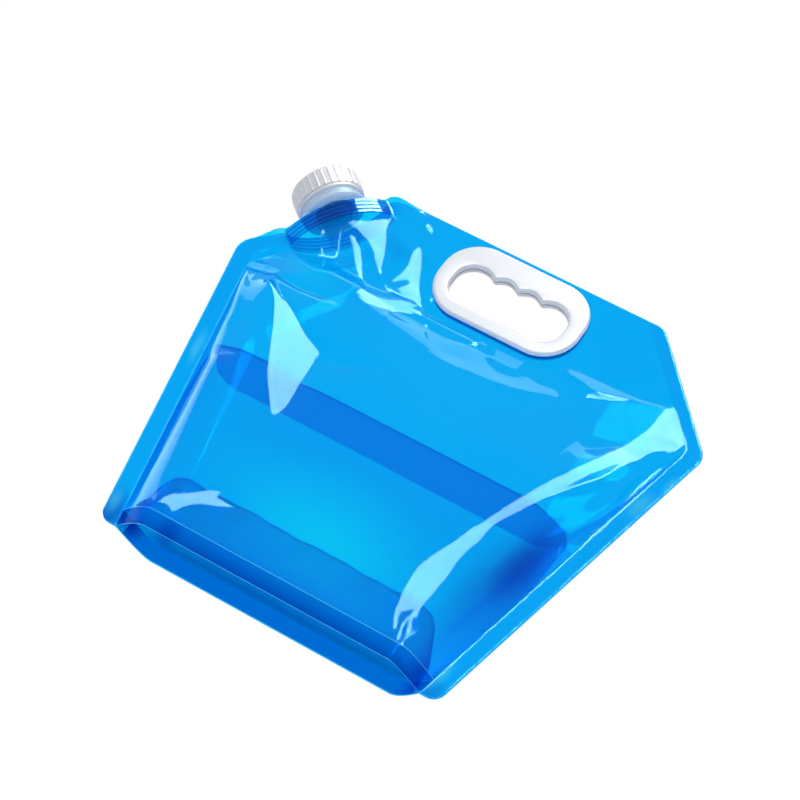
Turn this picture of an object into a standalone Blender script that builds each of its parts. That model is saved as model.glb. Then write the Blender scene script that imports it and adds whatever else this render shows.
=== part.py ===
"""Collapsible water carrier.

A stand-up pouch of clear blue film with a screw-capped spout across one top corner, a snap-in handle
in its top edge and water in its lower half. The front faces -Y, Z is up, and the origin is on the
ground under the middle of the bag.
"""
import math

import bmesh
import bpy
from mathutils import Matrix, Vector
from mathutils.geometry import tessellate_polygon

mm = 0.001

# Bag outline, seen from the front
bag_height = 293 * mm
base_width = 235 * mm
shoulder_width = 330 * mm
plain_shoulder_height = 223 * mm
spout_shoulder_height = 212 * mm
top_edge_width = 195.5 * mm
base_corner_radius = 9 * mm
shoulder_radius = 11 * mm
top_corner_radius = 12 * mm
corner_steps = 3

# Film and its welds
film_thickness = 0.4 * mm
film_gap = 0.3 * mm
side_weld_width = 12 * mm
skirt_height = 12 * mm

# Filled form: depths are measured from front to back
belly_depth = 51 * mm
fold_softness = 1.2 * mm
side_fold_power = 1.35
top_facet_slope = 0.3
row_spacing = 15 * mm
spout_row_spacing = 6 * mm
least_row_spacing = 1.6 * mm
# Shares of the width between the side welds, closer at the folds
column_shares = (
    0.0, 0.03, 0.06, 0.09, 0.13, 0.18, 0.24, 0.3, 0.37, 0.46,
    0.56, 0.66, 0.76, 0.83, 0.87, 0.91, 0.94, 0.97, 1.0,
)
# Height share of the bag, depth share of the belly
belly_shares = (
    (0.0, 0.8), (0.04, 0.8), (0.15, 0.93), (0.31, 1.0), (0.45, 0.98), (0.62, 0.86), (0.8, 0.7), (1.0, 0.6),
)
# Height share of the bag, width share of the bag between the side weld and the ridge of the front
plain_fold_shares = (
    (0.0, 0.062), (0.04, 0.062), (0.18, 0.13), (0.33, 0.135), (0.46, 0.095), (0.57, 0.05), (1.0, 0.03),
)
spout_fold_shares = (
    (0.0, 0.07), (0.04, 0.07), (0.22, 0.065), (0.44, 0.055), (0.66, 0.03), (1.0, 0.03),
)
# Half width share, height share: the line above which front and back are welded flat
top_weld_shares = (
    (-1.0, 0.67), (-0.91, 0.683), (-0.82, 0.765), (-0.54, 0.955), (-0.36, 0.84), (-0.29, 0.78),
    (-0.11, 0.772), (0.58, 0.783), (0.77, 0.83), (0.91, 0.765), (1.0, 0.7),
)

# Base gusset: a fold that stands up like a tent between the skirts
gusset_clearance = 0.35 * mm
gusset_foot_lift = 0.6 * mm
gusset_rise = 38 * mm
# Half length share, height share of the fold's crest
crest_shares = (
    (-1.0, 0.2), (-0.97, 0.72), (-0.93, 0.93), (-0.86, 1.0), (0.76, 1.0), (0.84, 0.93), (0.9, 0.75), (1.0, 0.2),
)
# Depth share, height share up one slope of the fold
slope_shares = ((1.0, 0.0), (0.52, 0.54), (0.16, 0.9), (0.04, 1.0))

# Water
water_level = 131 * mm
water_foot = 20 * mm
water_clearance = 1.4 * mm

# Spout: its axis stands square on the slanting edge between the spout shoulder and the top corner
spout_offset = 11.6 * mm
boat_drop = 3 * mm
boat_height = 11.8 * mm
boat_length = 67 * mm
boat_depth = 28.4 * mm
boat_tip_depth = 2 * mm
boat_rib_depth = 0.5 * mm
boat_rib_height = 1.2 * mm
boat_rib_count = 4
boat_rib_inset = 0.9 * mm
boat_steps = 12
boat_clearance = 1 * mm
tab_width = 5.6 * mm
tab_height = 10 * mm
tab_depth = 2.6 * mm
tab_groove = 1.2 * mm
web_depth = 1.4 * mm
stub_radius = 10.5 * mm
stub_length = 6.2 * mm
neck_wall = 1.3 * mm
throat_radius = 13 * mm
flange_lift = 0.8 * mm
flange_radius = 20.8 * mm
flange_height = 1.6 * mm
collar_radius = 20 * mm
collar_height = 4 * mm
neck_radius = 17.2 * mm
neck_height = 19.6 * mm
bead_radius = 18.4 * mm
bead_height = 1 * mm
bore_radius = 9.2 * mm
round_steps = 32

# Closure
cap_radius = 22 * mm
cap_rib_depth = 0.45 * mm
cap_rib_count = 30
cap_rib_width_share = 0.24
cap_wall = 2.3 * mm
cap_top_wall = 1.8 * mm
cap_edge_radius = 1.4 * mm
cap_recess_radius = 16.5 * mm
cap_recess_depth = 0.5 * mm
ring_height = 2 * mm
ring_radius = 21.6 * mm
liner_thickness = 1 * mm
liner_inset = 0.4 * mm
seat_gap = 0.3 * mm

# Handle
handle_width = 101 * mm
handle_height = 57 * mm
handle_side_offset = 6 * mm
handle_top_margin = 3.6 * mm
handle_corner_radius = 25 * mm
handle_half_thickness = 3.2 * mm
handle_edge_round = 1.1 * mm
handle_edge_steps = 2
handle_corner_steps = 6
handle_bottom_bar = 9.7 * mm
handle_top_bar = 16.8 * mm
handle_end_bar = 11 * mm
hole_corner_radius = 13 * mm
hole_corner_steps = 4
finger_pitch_share = 0.32
finger_rise = 3.4 * mm
finger_steps = 5
peg_radius = 2 * mm
peg_gap = 0.3 * mm
peg_steps = 16
peg_head_gap = 0.6 * mm
socket_floor = 1 * mm
hand_hole_margin = 1.5 * mm
film_peg_margin = 0.5 * mm
cut_overrun = 2 * mm

# Vertices closer than this are one
weld_distance = 0.03 * mm

half = 0.5


def clear_scene():
    for item in list(bpy.context.scene.objects):
        bpy.data.objects.remove(item, do_unlink=True)


def make_material(name, colour, roughness, metallic=0.0):
    material = bpy.data.materials.new(name)
    material.use_nodes = True
    shader = material.node_tree.nodes["Principled BSDF"]
    shader.inputs["Base Color"].default_value = colour
    shader.inputs["Roughness"].default_value = roughness
    shader.inputs["Metallic"].default_value = metallic
    shader.inputs["Alpha"].default_value = colour[-1]
    return material


def make_object(name, mesh, material, collection, parent=None):
    item = bpy.data.objects.new(name, mesh)
    mesh.materials.clear()
    mesh.materials.append(material)
    collection.objects.link(item)
    item.parent = parent
    return item


def shade_round(mesh, angle=math.radians(32)):
    mesh.shade_smooth()
    mesh.set_sharp_from_angle(angle=angle)


def evaluated_mesh(item):
    """The mesh of an object with its modifiers, which then leaves the scene."""
    bpy.context.view_layer.update()
    mesh = bpy.data.meshes.new_from_object(item.evaluated_get(bpy.context.evaluated_depsgraph_get()))
    mesh.transform(item.matrix_world)
    bpy.data.objects.remove(item, do_unlink=True)
    return mesh


def weld_mesh(mesh, distance=0.0):
    """Joins loose caps to their sides and turns every face outward."""
    shell = bmesh.new()
    shell.from_mesh(mesh)
    bmesh.ops.remove_doubles(shell, verts=shell.verts, dist=distance)
    bmesh.ops.recalc_face_normals(shell, faces=shell.faces)
    if shell.calc_volume(signed=True) < 0:
        bmesh.ops.reverse_faces(shell, faces=shell.faces)
    shell.to_mesh(mesh)
    shell.free()


def working_object(mesh):
    item = bpy.data.objects.new("work", mesh)
    bpy.context.scene.collection.objects.link(item)
    return item


def combine(mesh, tools, operation):
    """Joins or cuts a mesh with each of the tool meshes in turn."""
    for tool in tools:
        target = working_object(mesh)
        cutter = working_object(tool)
        cutter.hide_render = True
        cutter.display_type = "WIRE"
        change = target.modifiers.new("combine", "BOOLEAN")
        change.operation = operation
        change.solver = "EXACT"
        change.object = cutter
        mesh = evaluated_mesh(target)
        bpy.data.objects.remove(cutter, do_unlink=True)
    return mesh


def plate(outlines, thickness, lift=0.0):
    """A flat outline, with any holes, given a thickness and standing on a height."""
    curve = bpy.data.curves.new("outline", "CURVE")
    curve.dimensions = "2D"
    curve.fill_mode = "BOTH"
    curve.extrude = thickness * half
    for outline in outlines:
        spline = curve.splines.new("POLY")
        spline.points.add(len(outline) - 1)
        spline.use_cyclic_u = True
        for place, point in zip(spline.points, outline):
            place.co = (point[0], point[1], 0, 1)
    item = bpy.data.objects.new("outline", curve)
    bpy.context.scene.collection.objects.link(item)
    item.location = (0, 0, lift + thickness * half)
    mesh = evaluated_mesh(item)
    weld_mesh(mesh, weld_distance)
    return mesh


def turned(profile, closed=True):
    """A profile of radius and height, run down its outer side, turned about the Z axis."""
    mesh = bpy.data.meshes.new("profile")
    edges = [(i, i + 1) for i in range(len(profile) - 1)]
    if closed:
        edges.append((len(profile) - 1, 0))
    mesh.from_pydata([(radius, 0, height) for radius, height in profile], edges, [])
    item = working_object(mesh)
    screw = item.modifiers.new("turn", "SCREW")
    screw.steps = round_steps
    screw.render_steps = round_steps
    screw.use_merge_vertices = True
    screw.merge_threshold = 0.0001
    mesh = evaluated_mesh(item)
    weld_mesh(mesh, weld_distance)
    return mesh


def interpolate(table, place):
    """The value of a table of rising places at one place."""
    if place <= table[0][0]:
        return table[0][1]
    for (low, low_value), (high, high_value) in zip(table, table[1:]):
        if place <= high:
            return low_value + (high_value - low_value) * (place - low) / (high - low)
    return table[-1][1]


def rounded(corners, steps):
    """The points of a closed outline whose corners are (point, radius) pairs."""
    points = []
    for i, (corner, radius) in enumerate(corners):
        before = (corners[i - 1][0] - corner).normalized()
        after = (corners[(i + 1) % len(corners)][0] - corner).normalized()
        opening = before.angle(after)
        reach = radius / math.tan(opening * half)
        centre = corner + (before + after).normalized() * radius / math.sin(opening * half)
        start = corner + before * reach - centre
        end = corner + after * reach - centre
        turn = start.angle_signed(end)
        for step in range(steps + 1):
            points.append(centre + Matrix.Rotation(-turn * step / steps, 2) @ start)
    return points


def side_line(height):
    lean = (shoulder_width - base_width) * half / plain_shoulder_height
    return base_width * half + lean * height


def bag_corners():
    """The bag's unrounded corners, anticlockwise from the left end of its base."""
    return [
        (Vector((-base_width * half, 0)), base_corner_radius),
        (Vector((base_width * half, 0)), base_corner_radius),
        (Vector((side_line(plain_shoulder_height), plain_shoulder_height)), shoulder_radius),
        (Vector((top_edge_width * half, bag_height)), top_corner_radius),
        (Vector((-top_edge_width * half, bag_height)), top_corner_radius),
        (Vector((-side_line(spout_shoulder_height), spout_shoulder_height)), shoulder_radius),
    ]


def bag_edges():
    """The left and right edge of the film as tables of height and sideways place."""
    outline = rounded(bag_corners(), corner_steps)
    reach = max(point.x for point in outline) + min(point.x for point in outline)
    shift = reach * half
    right = sorted((point.y, point.x - shift) for point in outline if point.x > 0)
    left = sorted((point.y, point.x - shift) for point in outline if point.x < 0)
    return left, right, shift


left_edge, right_edge, frame_shift = bag_edges()


def spout_frame():
    """The foot of the spout's axis on the slanting edge and the edge's rise."""
    low = Vector((-side_line(spout_shoulder_height) - frame_shift, spout_shoulder_height))
    high = Vector((-top_edge_width * half - frame_shift, bag_height))
    along = (high - low).normalized()
    foot = (low + high) * half + along * spout_offset
    return foot, along


spout_foot, spout_along = spout_frame()


def boat_half_depth(place):
    """Half the depth of the plain boat at a distance from its middle."""
    rise = (boat_depth - boat_tip_depth) * half
    reach = boat_length * half
    radius = (reach * reach + rise * rise) / (rise + rise)
    place = min(abs(place), reach)
    return math.sqrt(radius * radius - place * place) - radius + boat_depth * half


def spout_bulge(x, z):
    """How far the film stands out over the boat and just below it."""
    place = Vector((x, z)) - spout_foot
    along = place.dot(spout_along)
    across = place.dot(Vector((-spout_along.y, spout_along.x)))
    outer = boat_length * half + tab_groove + tab_width
    depth = boat_half_depth(along) + boat_rib_depth + boat_clearance
    end_fade = 1 - min(max(abs(along) - outer - boat_clearance, 0) / side_weld_width, 1)
    foot_of_stub = boat_drop + boat_height + stub_length
    fade = 1 - min(max(-across - foot_of_stub, 0) / (foot_of_stub + foot_of_stub), 1)
    return depth * fade * end_fade


def film_depth(x, z):
    """Distance of the film's inner face from the middle plane, without the gap between the films."""
    belly = belly_depth * half * interpolate(belly_shares, z / bag_height)
    width = shoulder_width
    height_share = z / bag_height
    left, right = weld_places(z)
    spout_side = x - left
    plain_side = right - x
    faces = []
    for reach, table in ((spout_side, spout_fold_shares), (plain_side, plain_fold_shares)):
        share = min(max(reach / (width * interpolate(table, height_share)), 0), 1)
        faces.append(belly * (1 - (1 - share) ** side_fold_power))
    line = bag_height * interpolate(top_weld_shares, x / (width * half))
    if z > skirt_height:
        faces.append(max((line - z) * top_facet_slope, 0))
    least = min(faces)
    soft = least - fold_softness * math.log(sum(math.exp((least - face) / fold_softness) for face in faces))
    return max(soft, 0, spout_bulge(x, z))


def panel_rows():
    """The heights of the film's rows of points, closer at the rounded corners and round the spout."""
    fixed = {0.0, skirt_height, water_foot, water_level, bag_height}
    fixed = sorted(fixed | {z for z, x in left_edge + right_edge})
    rows = [fixed[0]]
    for height in fixed[1:]:
        room = height - rows[-1]
        if room < least_row_spacing and height not in (skirt_height, water_foot, water_level, bag_height):
            continue
        spacing = spout_row_spacing if height > spout_shoulder_height else row_spacing
        parts = max(1, round(room / spacing))
        rows += [rows[-1] + room * (part + 1) / parts for part in range(parts)]
    return rows


def weld_places(height):
    """Sideways places of the inner edges of the side welds, which pass the rounded base corners straight."""
    if height < bag_height * half:
        left, right = -side_line(height) - frame_shift, side_line(height) - frame_shift
    else:
        left, right = interpolate(left_edge, height), interpolate(right_edge, height)
    return left + side_weld_width, right - side_weld_width


def inner_places(height):
    """Sideways places of the film's columns between its side welds."""
    left, right = weld_places(height)
    return [left + (right - left) * share for share in column_shares]


def panel_columns(height):
    return [interpolate(left_edge, height)] + inner_places(height) + [interpolate(right_edge, height)]


def sheet_mesh(rows, thickness, outward, levels=()):
    """A sheet through rows of points, thickened to one side, its cut edges flush at the given heights."""
    mesh = bpy.data.meshes.new("sheet")
    shell = bmesh.new()
    grid = [[shell.verts.new(point) for point in row] for row in rows]
    for low, high in zip(grid, grid[1:]):
        for i in range(len(low) - 1):
            shell.faces.new((low[i], low[i + 1], high[i + 1], high[i]))
    shell.to_mesh(mesh)
    shell.free()
    item = working_object(mesh)
    thick = item.modifiers.new("film", "SOLIDIFY")
    thick.thickness = thickness
    thick.offset = outward
    thick.use_rim = True
    mesh = evaluated_mesh(item)
    for point in mesh.vertices:
        for level in levels:
            if abs(point.co.z - level) < thickness:
                point.co.z = level
    weld_mesh(mesh)
    return mesh


def stood_up(mesh):
    """Turns a flat mesh so that its outline's Y runs up and its thickness runs back."""
    mesh.transform(Matrix.Rotation(math.pi * half, 4, "X"))
    mesh.transform(Matrix.Scale(-1, 4, Vector((0, 1, 0))))
    mesh.flip_normals()
    return mesh


def handle_centre():
    return Vector((handle_side_offset, bag_height - handle_top_margin - handle_height * half))


def handle_outline():
    reach = Vector((handle_width, handle_height)) * half
    corners = []
    for x, y in ((-1, -1), (1, -1), (1, 1), (-1, 1)):
        corners.append((Vector((x * reach.x, y * reach.y)), handle_corner_radius))
    return [point + handle_centre() for point in rounded(corners, handle_corner_steps)]


def hole_outline(margin=0.0):
    """The finger hole: rounded ends, a straight foot and four finger grooves along its upper edge."""
    reach = handle_width * half - handle_end_bar + margin
    foot = -handle_height * half + handle_bottom_bar - margin
    crest = handle_height * half - handle_top_bar + margin
    radius = hole_corner_radius + margin
    corners = [
        (Vector((-reach, foot)), radius), (Vector((reach, foot)), radius),
        (Vector((reach, crest)), radius), (Vector((-reach, crest)), radius),
    ]
    points = rounded(corners, hole_corner_steps)
    upper = (hole_corner_steps + 1) * 3
    grooves = []
    steps = finger_steps * 3
    pitch = (reach - radius) * 2 * finger_pitch_share
    for step in range(-steps, steps + 1):
        wave = abs(math.sin(math.pi * step * half / finger_steps))
        place = -step * pitch * half / finger_steps
        grooves.append(Vector((place, crest - finger_rise * (1 - wave))))
    points = points[:upper] + grooves + points[upper:]
    return [point + handle_centre() for point in points]


def peg_places():
    """Six pegs: two in each long bar and one in each end."""
    reach = handle_width * half
    top = (handle_height - handle_top_bar) * half
    foot = (handle_height - handle_bottom_bar) * half
    end = reach - handle_end_bar * half
    inner = reach - handle_corner_radius
    places = [(-inner, top), (inner, top), (-inner, -foot), (inner, -foot), (-end, 0), (end, 0)]
    return [Vector(place) + handle_centre() for place in places]


def peg_mesh(place, radius, near, far):
    """A round peg or hole cutter along Y between two distances from the middle plane."""
    shell = bmesh.new()
    middle = Matrix.Translation((place.x, (near + far) * half, place.y))
    bmesh.ops.create_cone(
        shell, cap_ends=True, segments=peg_steps, radius1=radius, radius2=radius, depth=far - near,
        matrix=middle @ Matrix.Rotation(math.pi * half, 4, "X"),
    )
    mesh = bpy.data.meshes.new("peg")
    shell.to_mesh(mesh)
    shell.free()
    return mesh


def panel_mesh(side):
    """One wall of the bag, cut for the hand and for the handle's pegs. side is -1 at the front."""
    rows = []
    for z in panel_rows():
        rows.append([(x, side * (film_gap * half + film_depth(x, z)), z) for x in panel_columns(z)])
    mesh = sheet_mesh(rows, film_thickness, -side, (0, bag_height))
    reach = film_gap + film_thickness + cut_overrun
    hole = stood_up(plate([hole_outline(hand_hole_margin)], reach + reach, -reach))
    cutters = [hole]
    cutters += [peg_mesh(place, peg_radius + film_peg_margin, -reach, reach) for place in peg_places()]
    return combine(mesh, cutters, "DIFFERENCE")


def gusset_section(x, foot, clearance=0.0):
    """Front half of the base fold at one place across: up the skirt and up one slope to the crest."""
    places = inner_places(skirt_height)[1:-1]
    middle = (places[0] + places[-1]) * half
    crest = gusset_rise * interpolate(crest_shares, (x - middle) / (places[-1] - middle))
    y = film_depth(x, 0) + film_gap * half - gusset_clearance + clearance
    top = skirt_height - gusset_foot_lift + clearance
    return [(-y, foot)] + [(-y * depth, top + crest * rise) for depth, rise in slope_shares]


def gusset_mesh():
    """The folded base film: a leg up the inside of each skirt and a tent-like fold between them."""
    rows = []
    for x in inner_places(skirt_height)[1:-1]:
        section = gusset_section(x, gusset_foot_lift)
        section += [(-a, b) for a, b in reversed(section)]
        rows.append([(x, a, b) for a, b in section])
    return sheet_mesh(rows, film_thickness, 1)


def fold_space():
    """The room that the base fold takes out of the water."""
    places = inner_places(skirt_height)[1:-1]
    clearance = water_clearance + film_thickness
    loops = []
    for x in places:
        front = [(x, a, b) for a, b in gusset_section(x, 0, clearance)]
        loops.append(front + [(x, -a, b) for x, a, b in reversed(front)])
    mesh = loft_mesh(loops)
    weld_mesh(mesh)
    return mesh


def loft_mesh(loops):
    """A closed solid through loops of points, each with as many points, from the bottom up."""
    shell = bmesh.new()
    rings = [[shell.verts.new(point) for point in loop] for loop in loops]
    for low, high in zip(rings, rings[1:]):
        for i in range(len(low)):
            j = (i + 1) % len(low)
            shell.faces.new((low[i], low[j], high[j], high[i]))
    across = len(rings[0])
    for ring, order in ((rings[0], -1), (rings[-1], 1)):
        for i in range(across // 2 - 1):
            quad = [ring[i], ring[i + 1], ring[across - 2 - i], ring[across - 1 - i]]
            shell.faces.new(quad[::order])
    mesh = bpy.data.meshes.new("loft")
    shell.to_mesh(mesh)
    shell.free()
    return mesh


def water_mesh():
    """The water, held between the walls and above the base film."""
    loops = []
    for z in [height for height in panel_rows() if water_foot <= height <= water_level]:
        front = [(x, water_clearance - film_depth(x, z), z) for x in inner_places(z)[1:-1]]
        back = [(x, -y, z) for x, y, z in reversed(front)]
        loops.append(front + back)
    mesh = loft_mesh(loops)
    weld_mesh(mesh)
    return combine(mesh, [fold_space()], "DIFFERENCE")


def boat_outline(grow):
    """The eye-shaped outline of the boat, grown all round."""
    reach = boat_length * half
    places = [-reach + (reach + reach) * i / boat_steps for i in range(boat_steps + 1)]
    near = [Vector((place * (reach + grow) / reach, -boat_half_depth(place) - grow)) for place in places]
    return near + [Vector((point.x, -point.y)) for point in reversed(near)]


def box_mesh(size, centre):
    shell = bmesh.new()
    bmesh.ops.create_cube(shell, size=1, matrix=Matrix.Translation(centre) @ Matrix.Diagonal((*size, 1)))
    mesh = bpy.data.meshes.new("box")
    shell.to_mesh(mesh)
    shell.free()
    return mesh


def spout_mesh():
    """Boat with ribs and end tabs, throat, flange, collar and neck, with the bore right through."""
    foot = -boat_drop - boat_height
    mesh = plate([boat_outline(0.0)], boat_height, foot)
    pitch = (boat_height - boat_rib_height - boat_rib_inset - boat_rib_inset) / (boat_rib_count - 1)
    rib_feet = [foot + boat_rib_inset + pitch * i for i in range(boat_rib_count)]
    ribs = [plate([boat_outline(boat_rib_depth)], boat_rib_height, rib_foot) for rib_foot in rib_feet]
    reach = boat_length * half + tab_groove + tab_width
    middle = foot + boat_height * half
    web = box_mesh((reach + reach - tab_width, web_depth, tab_height - tab_groove), (0, 0, middle))
    tabs = [
        box_mesh((tab_width, tab_depth, tab_height), (side * (reach - tab_width * half), 0, middle))
        for side in (-1, 1)
    ]
    collar_foot = flange_lift + flange_height
    collar_top = collar_foot + collar_height
    ring_top = collar_top + seat_gap + ring_height
    bead_foot = ring_top + seat_gap
    body = turned([
        (0, neck_height), (neck_radius, neck_height), (neck_radius, bead_foot + bead_height),
        (bead_radius, bead_foot + bead_height * half), (neck_radius, bead_foot), (neck_radius, collar_top),
        (collar_radius, collar_top), (collar_radius, collar_foot), (flange_radius, collar_foot),
        (flange_radius, flange_lift), (throat_radius, flange_lift), (throat_radius, middle),
        (stub_radius, middle), (stub_radius, foot - stub_length), (0, foot - stub_length),
    ], closed=False)
    mesh = combine(mesh, ribs + [web] + tabs + [body], "UNION")
    wide = neck_radius - neck_wall
    bore = turned([
        (0, neck_height + cut_overrun), (wide, neck_height + cut_overrun), (wide, collar_top),
        (bore_radius, flange_lift - boat_drop), (bore_radius, foot - stub_length - cut_overrun),
        (0, foot - stub_length - cut_overrun),
    ], closed=False)
    return combine(mesh, [bore], "DIFFERENCE")


def closure_heights():
    """Heights up the spout's axis: foot and top of the band, foot and top of the cap, face of the liner."""
    ring_foot = flange_lift + flange_height + collar_height + seat_gap
    ring_top = ring_foot + ring_height
    liner_foot = neck_height + seat_gap
    cap_ceiling = liner_foot + liner_thickness + seat_gap
    return ring_foot, ring_top, ring_top + seat_gap, cap_ceiling + cap_top_wall, liner_foot


def ring_mesh():
    """The plain locking band, turned, trapped between the collar and the neck's bead."""
    ring_foot, ring_top, cap_foot, cap_top, liner_foot = closure_heights()
    inner = neck_radius + seat_gap
    return turned([
        (ring_radius - seat_gap, ring_top), (ring_radius, ring_top - seat_gap),
        (ring_radius, ring_foot), (inner, ring_foot),
        (inner, ring_top),
    ])


def cap_outline():
    """The cap from above: narrow raised ribs with wide flats between them."""
    points = []
    pitch = math.tau / cap_rib_count
    rib = pitch * cap_rib_width_share
    slope = rib * half
    outer = cap_radius
    inner = cap_radius - cap_rib_depth
    for i in range(cap_rib_count):
        start = pitch * i - rib * half
        for turn, radius in ((0, outer), (rib, outer), (rib + slope, inner), (pitch - slope, inner)):
            points.append(Vector((radius * math.cos(start + turn), radius * math.sin(start + turn))))
    return points


def cap_mesh():
    """The ribbed cap: a ribbed column kept inside a turned envelope with a rounded top edge, hollowed out."""
    ring_foot, ring_top, cap_foot, cap_top, liner_foot = closure_heights()
    edge = cap_edge_radius
    turns = [math.pi * half * i / corner_steps for i in range(corner_steps + 1)]
    outer = cap_radius + cap_rib_depth * half
    shoulder, crown = outer - edge, cap_top - edge
    rounding = [(shoulder + edge * math.sin(turn), crown + edge * math.cos(turn)) for turn in turns]
    foot = cap_foot - cut_overrun
    envelope = turned([(0, cap_top)] + rounding + [(outer, foot), (0, foot)], closed=False)
    mesh = plate([cap_outline()], cap_top - cap_foot + cut_overrun, cap_foot)
    mesh = combine(mesh, [envelope], "INTERSECT")
    inner = cap_radius - cap_wall
    cavity = turned([
        (0, cap_top - cap_top_wall), (inner, cap_top - cap_top_wall), (inner, cap_foot - cut_overrun),
        (0, cap_foot - cut_overrun),
    ], closed=False)
    recess = turned([
        (0, cap_top + cut_overrun), (cap_recess_radius, cap_top + cut_overrun),
        (cap_recess_radius, cap_top - cap_recess_depth), (0, cap_top - cap_recess_depth),
    ], closed=False)
    return combine(mesh, [cavity, recess], "DIFFERENCE")


def liner_mesh():
    ring_foot, ring_top, cap_foot, cap_top, liner_foot = closure_heights()
    radius = cap_radius - cap_wall - liner_inset
    top = liner_foot + liner_thickness
    return turned([(0, top), (radius, top), (radius, liner_foot), (0, liner_foot)], closed=False)


def shifted(points, reach):
    """An outline moved towards its left by a distance."""
    moved = []
    for before, point, after in zip(points[-1:] + points[:-1], points, points[1:] + points[:1]):
        first = (point - before).normalized()
        side = (first + (after - point).normalized()).normalized().orthogonal()
        moved.append(point + side * (reach / side.dot(first.orthogonal())))
    return moved


def edge_profile():
    """Inset and height up the rounded edge of a handle half, from its inner face to its outer face."""
    turns = [math.pi * half * step / handle_edge_steps for step in range(handle_edge_steps + 1)]
    foot = [(1 - math.sin(turn), 1 - math.cos(turn)) for turn in turns]
    foot = [(inset * handle_edge_round, height * handle_edge_round) for inset, height in foot]
    return foot + [(inset, handle_half_thickness - height) for inset, height in reversed(foot)]


def rounded_plate(outer, hole):
    """A handle half lying flat: an outline with one hole, its long edges rounded."""
    points, faces = [], []
    for inset, height in edge_profile():
        ring = shifted(outer, inset) + shifted(hole, -inset)
        points += [(point.x, point.y, height) for point in ring]
    count = len(outer) + len(hole)
    for start in range(0, len(points) - count, count):
        for first, size in ((start, len(outer)), (start + len(outer), len(hole))):
            for step in range(size):
                low, high = first + step, first + (step + 1) % size
                faces.append((low, high, high + count, low + count))
    for start in (0, len(points) - count):
        rims = points[start:start + len(outer)], points[start + len(outer):start + count]
        caps = tessellate_polygon([[Vector(point) for point in rim] for rim in rims])
        faces += [[start + corner for corner in cap] for cap in caps]
    mesh = bpy.data.meshes.new("handle_half")
    mesh.from_pydata(points, [], faces)
    weld_mesh(mesh)
    return mesh


def handle_plate(side):
    """One half of the handle, lying on its own side of the film. side is -1 at the front."""
    seat = film_gap * half + film_thickness + seat_gap
    mesh = stood_up(rounded_plate(handle_outline(), hole_outline()))
    if side < 0:
        mesh.transform(Matrix.Translation((0, -seat - handle_half_thickness, 0)))
    else:
        mesh.transform(Matrix.Translation((0, seat, 0)))
    return mesh, seat


def handle_front_mesh():
    mesh, seat = handle_plate(-1)
    start = -seat - handle_half_thickness * half
    end = seat + handle_half_thickness - socket_floor - peg_head_gap
    pegs = [peg_mesh(place, peg_radius, start, end) for place in peg_places()]
    return combine(mesh, pegs, "UNION")


def handle_back_mesh():
    mesh, seat = handle_plate(1)
    end = seat + handle_half_thickness - socket_floor
    start = seat - cut_overrun
    sockets = [peg_mesh(place, peg_radius + peg_gap, start, end) for place in peg_places()]
    return combine(mesh, sockets, "DIFFERENCE")


def build():
    clear_scene()
    collection = bpy.data.collections.new("collapsible_water_carrier")
    bpy.context.scene.collection.children.link(collection)
    film = make_material("blue_film", (0.0, 0.36, 0.86, 0.45), 0.12)
    liquid = make_material("water", (0.0, 0.22, 0.7, 0.5), 0.02)
    neck = make_material("spout_plastic", (0.72, 0.82, 0.93, 1.0), 0.35)
    white = make_material("cap_plastic", (0.86, 0.86, 0.88, 1.0), 0.4)
    grip = make_material("handle_plastic", (0.82, 0.84, 0.87, 1.0), 0.45)
    seal = make_material("liner_foam", (0.8, 0.8, 0.8, 1.0), 0.8)
    axis = bpy.data.objects.new("spout_axis", None)
    collection.objects.link(axis)
    axis.location = (spout_foot.x, 0, spout_foot.y)
    axis.rotation_euler = (0, -math.atan2(spout_along.y, spout_along.x), 0)
    pieces = (
        ("front_panel", panel_mesh(-1), film, None),
        ("back_panel", panel_mesh(1), film, None),
        ("bottom_gusset", gusset_mesh(), film, None),
        ("water", water_mesh(), liquid, None),
        ("spout", spout_mesh(), neck, axis),
        ("snap_ring", ring_mesh(), white, axis),
        ("cap", cap_mesh(), white, axis),
        ("cap_liner", liner_mesh(), seal, axis),
        ("handle_front", handle_front_mesh(), grip, None),
        ("handle_back", handle_back_mesh(), grip, None),
    )
    for name, mesh, material, parent in pieces:
        shade_round(mesh)
        make_object(name, mesh, material, collection, parent)


build()
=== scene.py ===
"""Dressed scene of a collapsible water carrier: clear blue film pouch, water, corner spout with a
screw cap, and a snap-in handle. Shapes are worked out in millimetres in the frame of the CAD model."""
import math
from contextlib import contextmanager

import bmesh
import bpy
import numpy as np
from mathutils import Matrix, Vector
from mathutils.geometry import tessellate_polygon


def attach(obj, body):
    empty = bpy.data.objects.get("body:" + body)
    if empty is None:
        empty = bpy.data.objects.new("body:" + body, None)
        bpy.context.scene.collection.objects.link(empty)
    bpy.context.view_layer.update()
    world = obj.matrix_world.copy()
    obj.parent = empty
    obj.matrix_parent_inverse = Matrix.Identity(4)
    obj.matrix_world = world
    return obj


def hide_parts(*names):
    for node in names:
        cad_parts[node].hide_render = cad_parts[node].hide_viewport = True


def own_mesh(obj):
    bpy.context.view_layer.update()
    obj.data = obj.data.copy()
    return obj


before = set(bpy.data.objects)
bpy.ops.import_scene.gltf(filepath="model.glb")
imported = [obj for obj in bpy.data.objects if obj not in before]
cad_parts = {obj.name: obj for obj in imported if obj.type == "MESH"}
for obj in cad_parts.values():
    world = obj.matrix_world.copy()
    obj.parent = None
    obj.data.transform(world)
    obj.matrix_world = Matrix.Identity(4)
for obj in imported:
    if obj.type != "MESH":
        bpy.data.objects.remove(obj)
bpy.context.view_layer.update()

MM = 0.001

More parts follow.
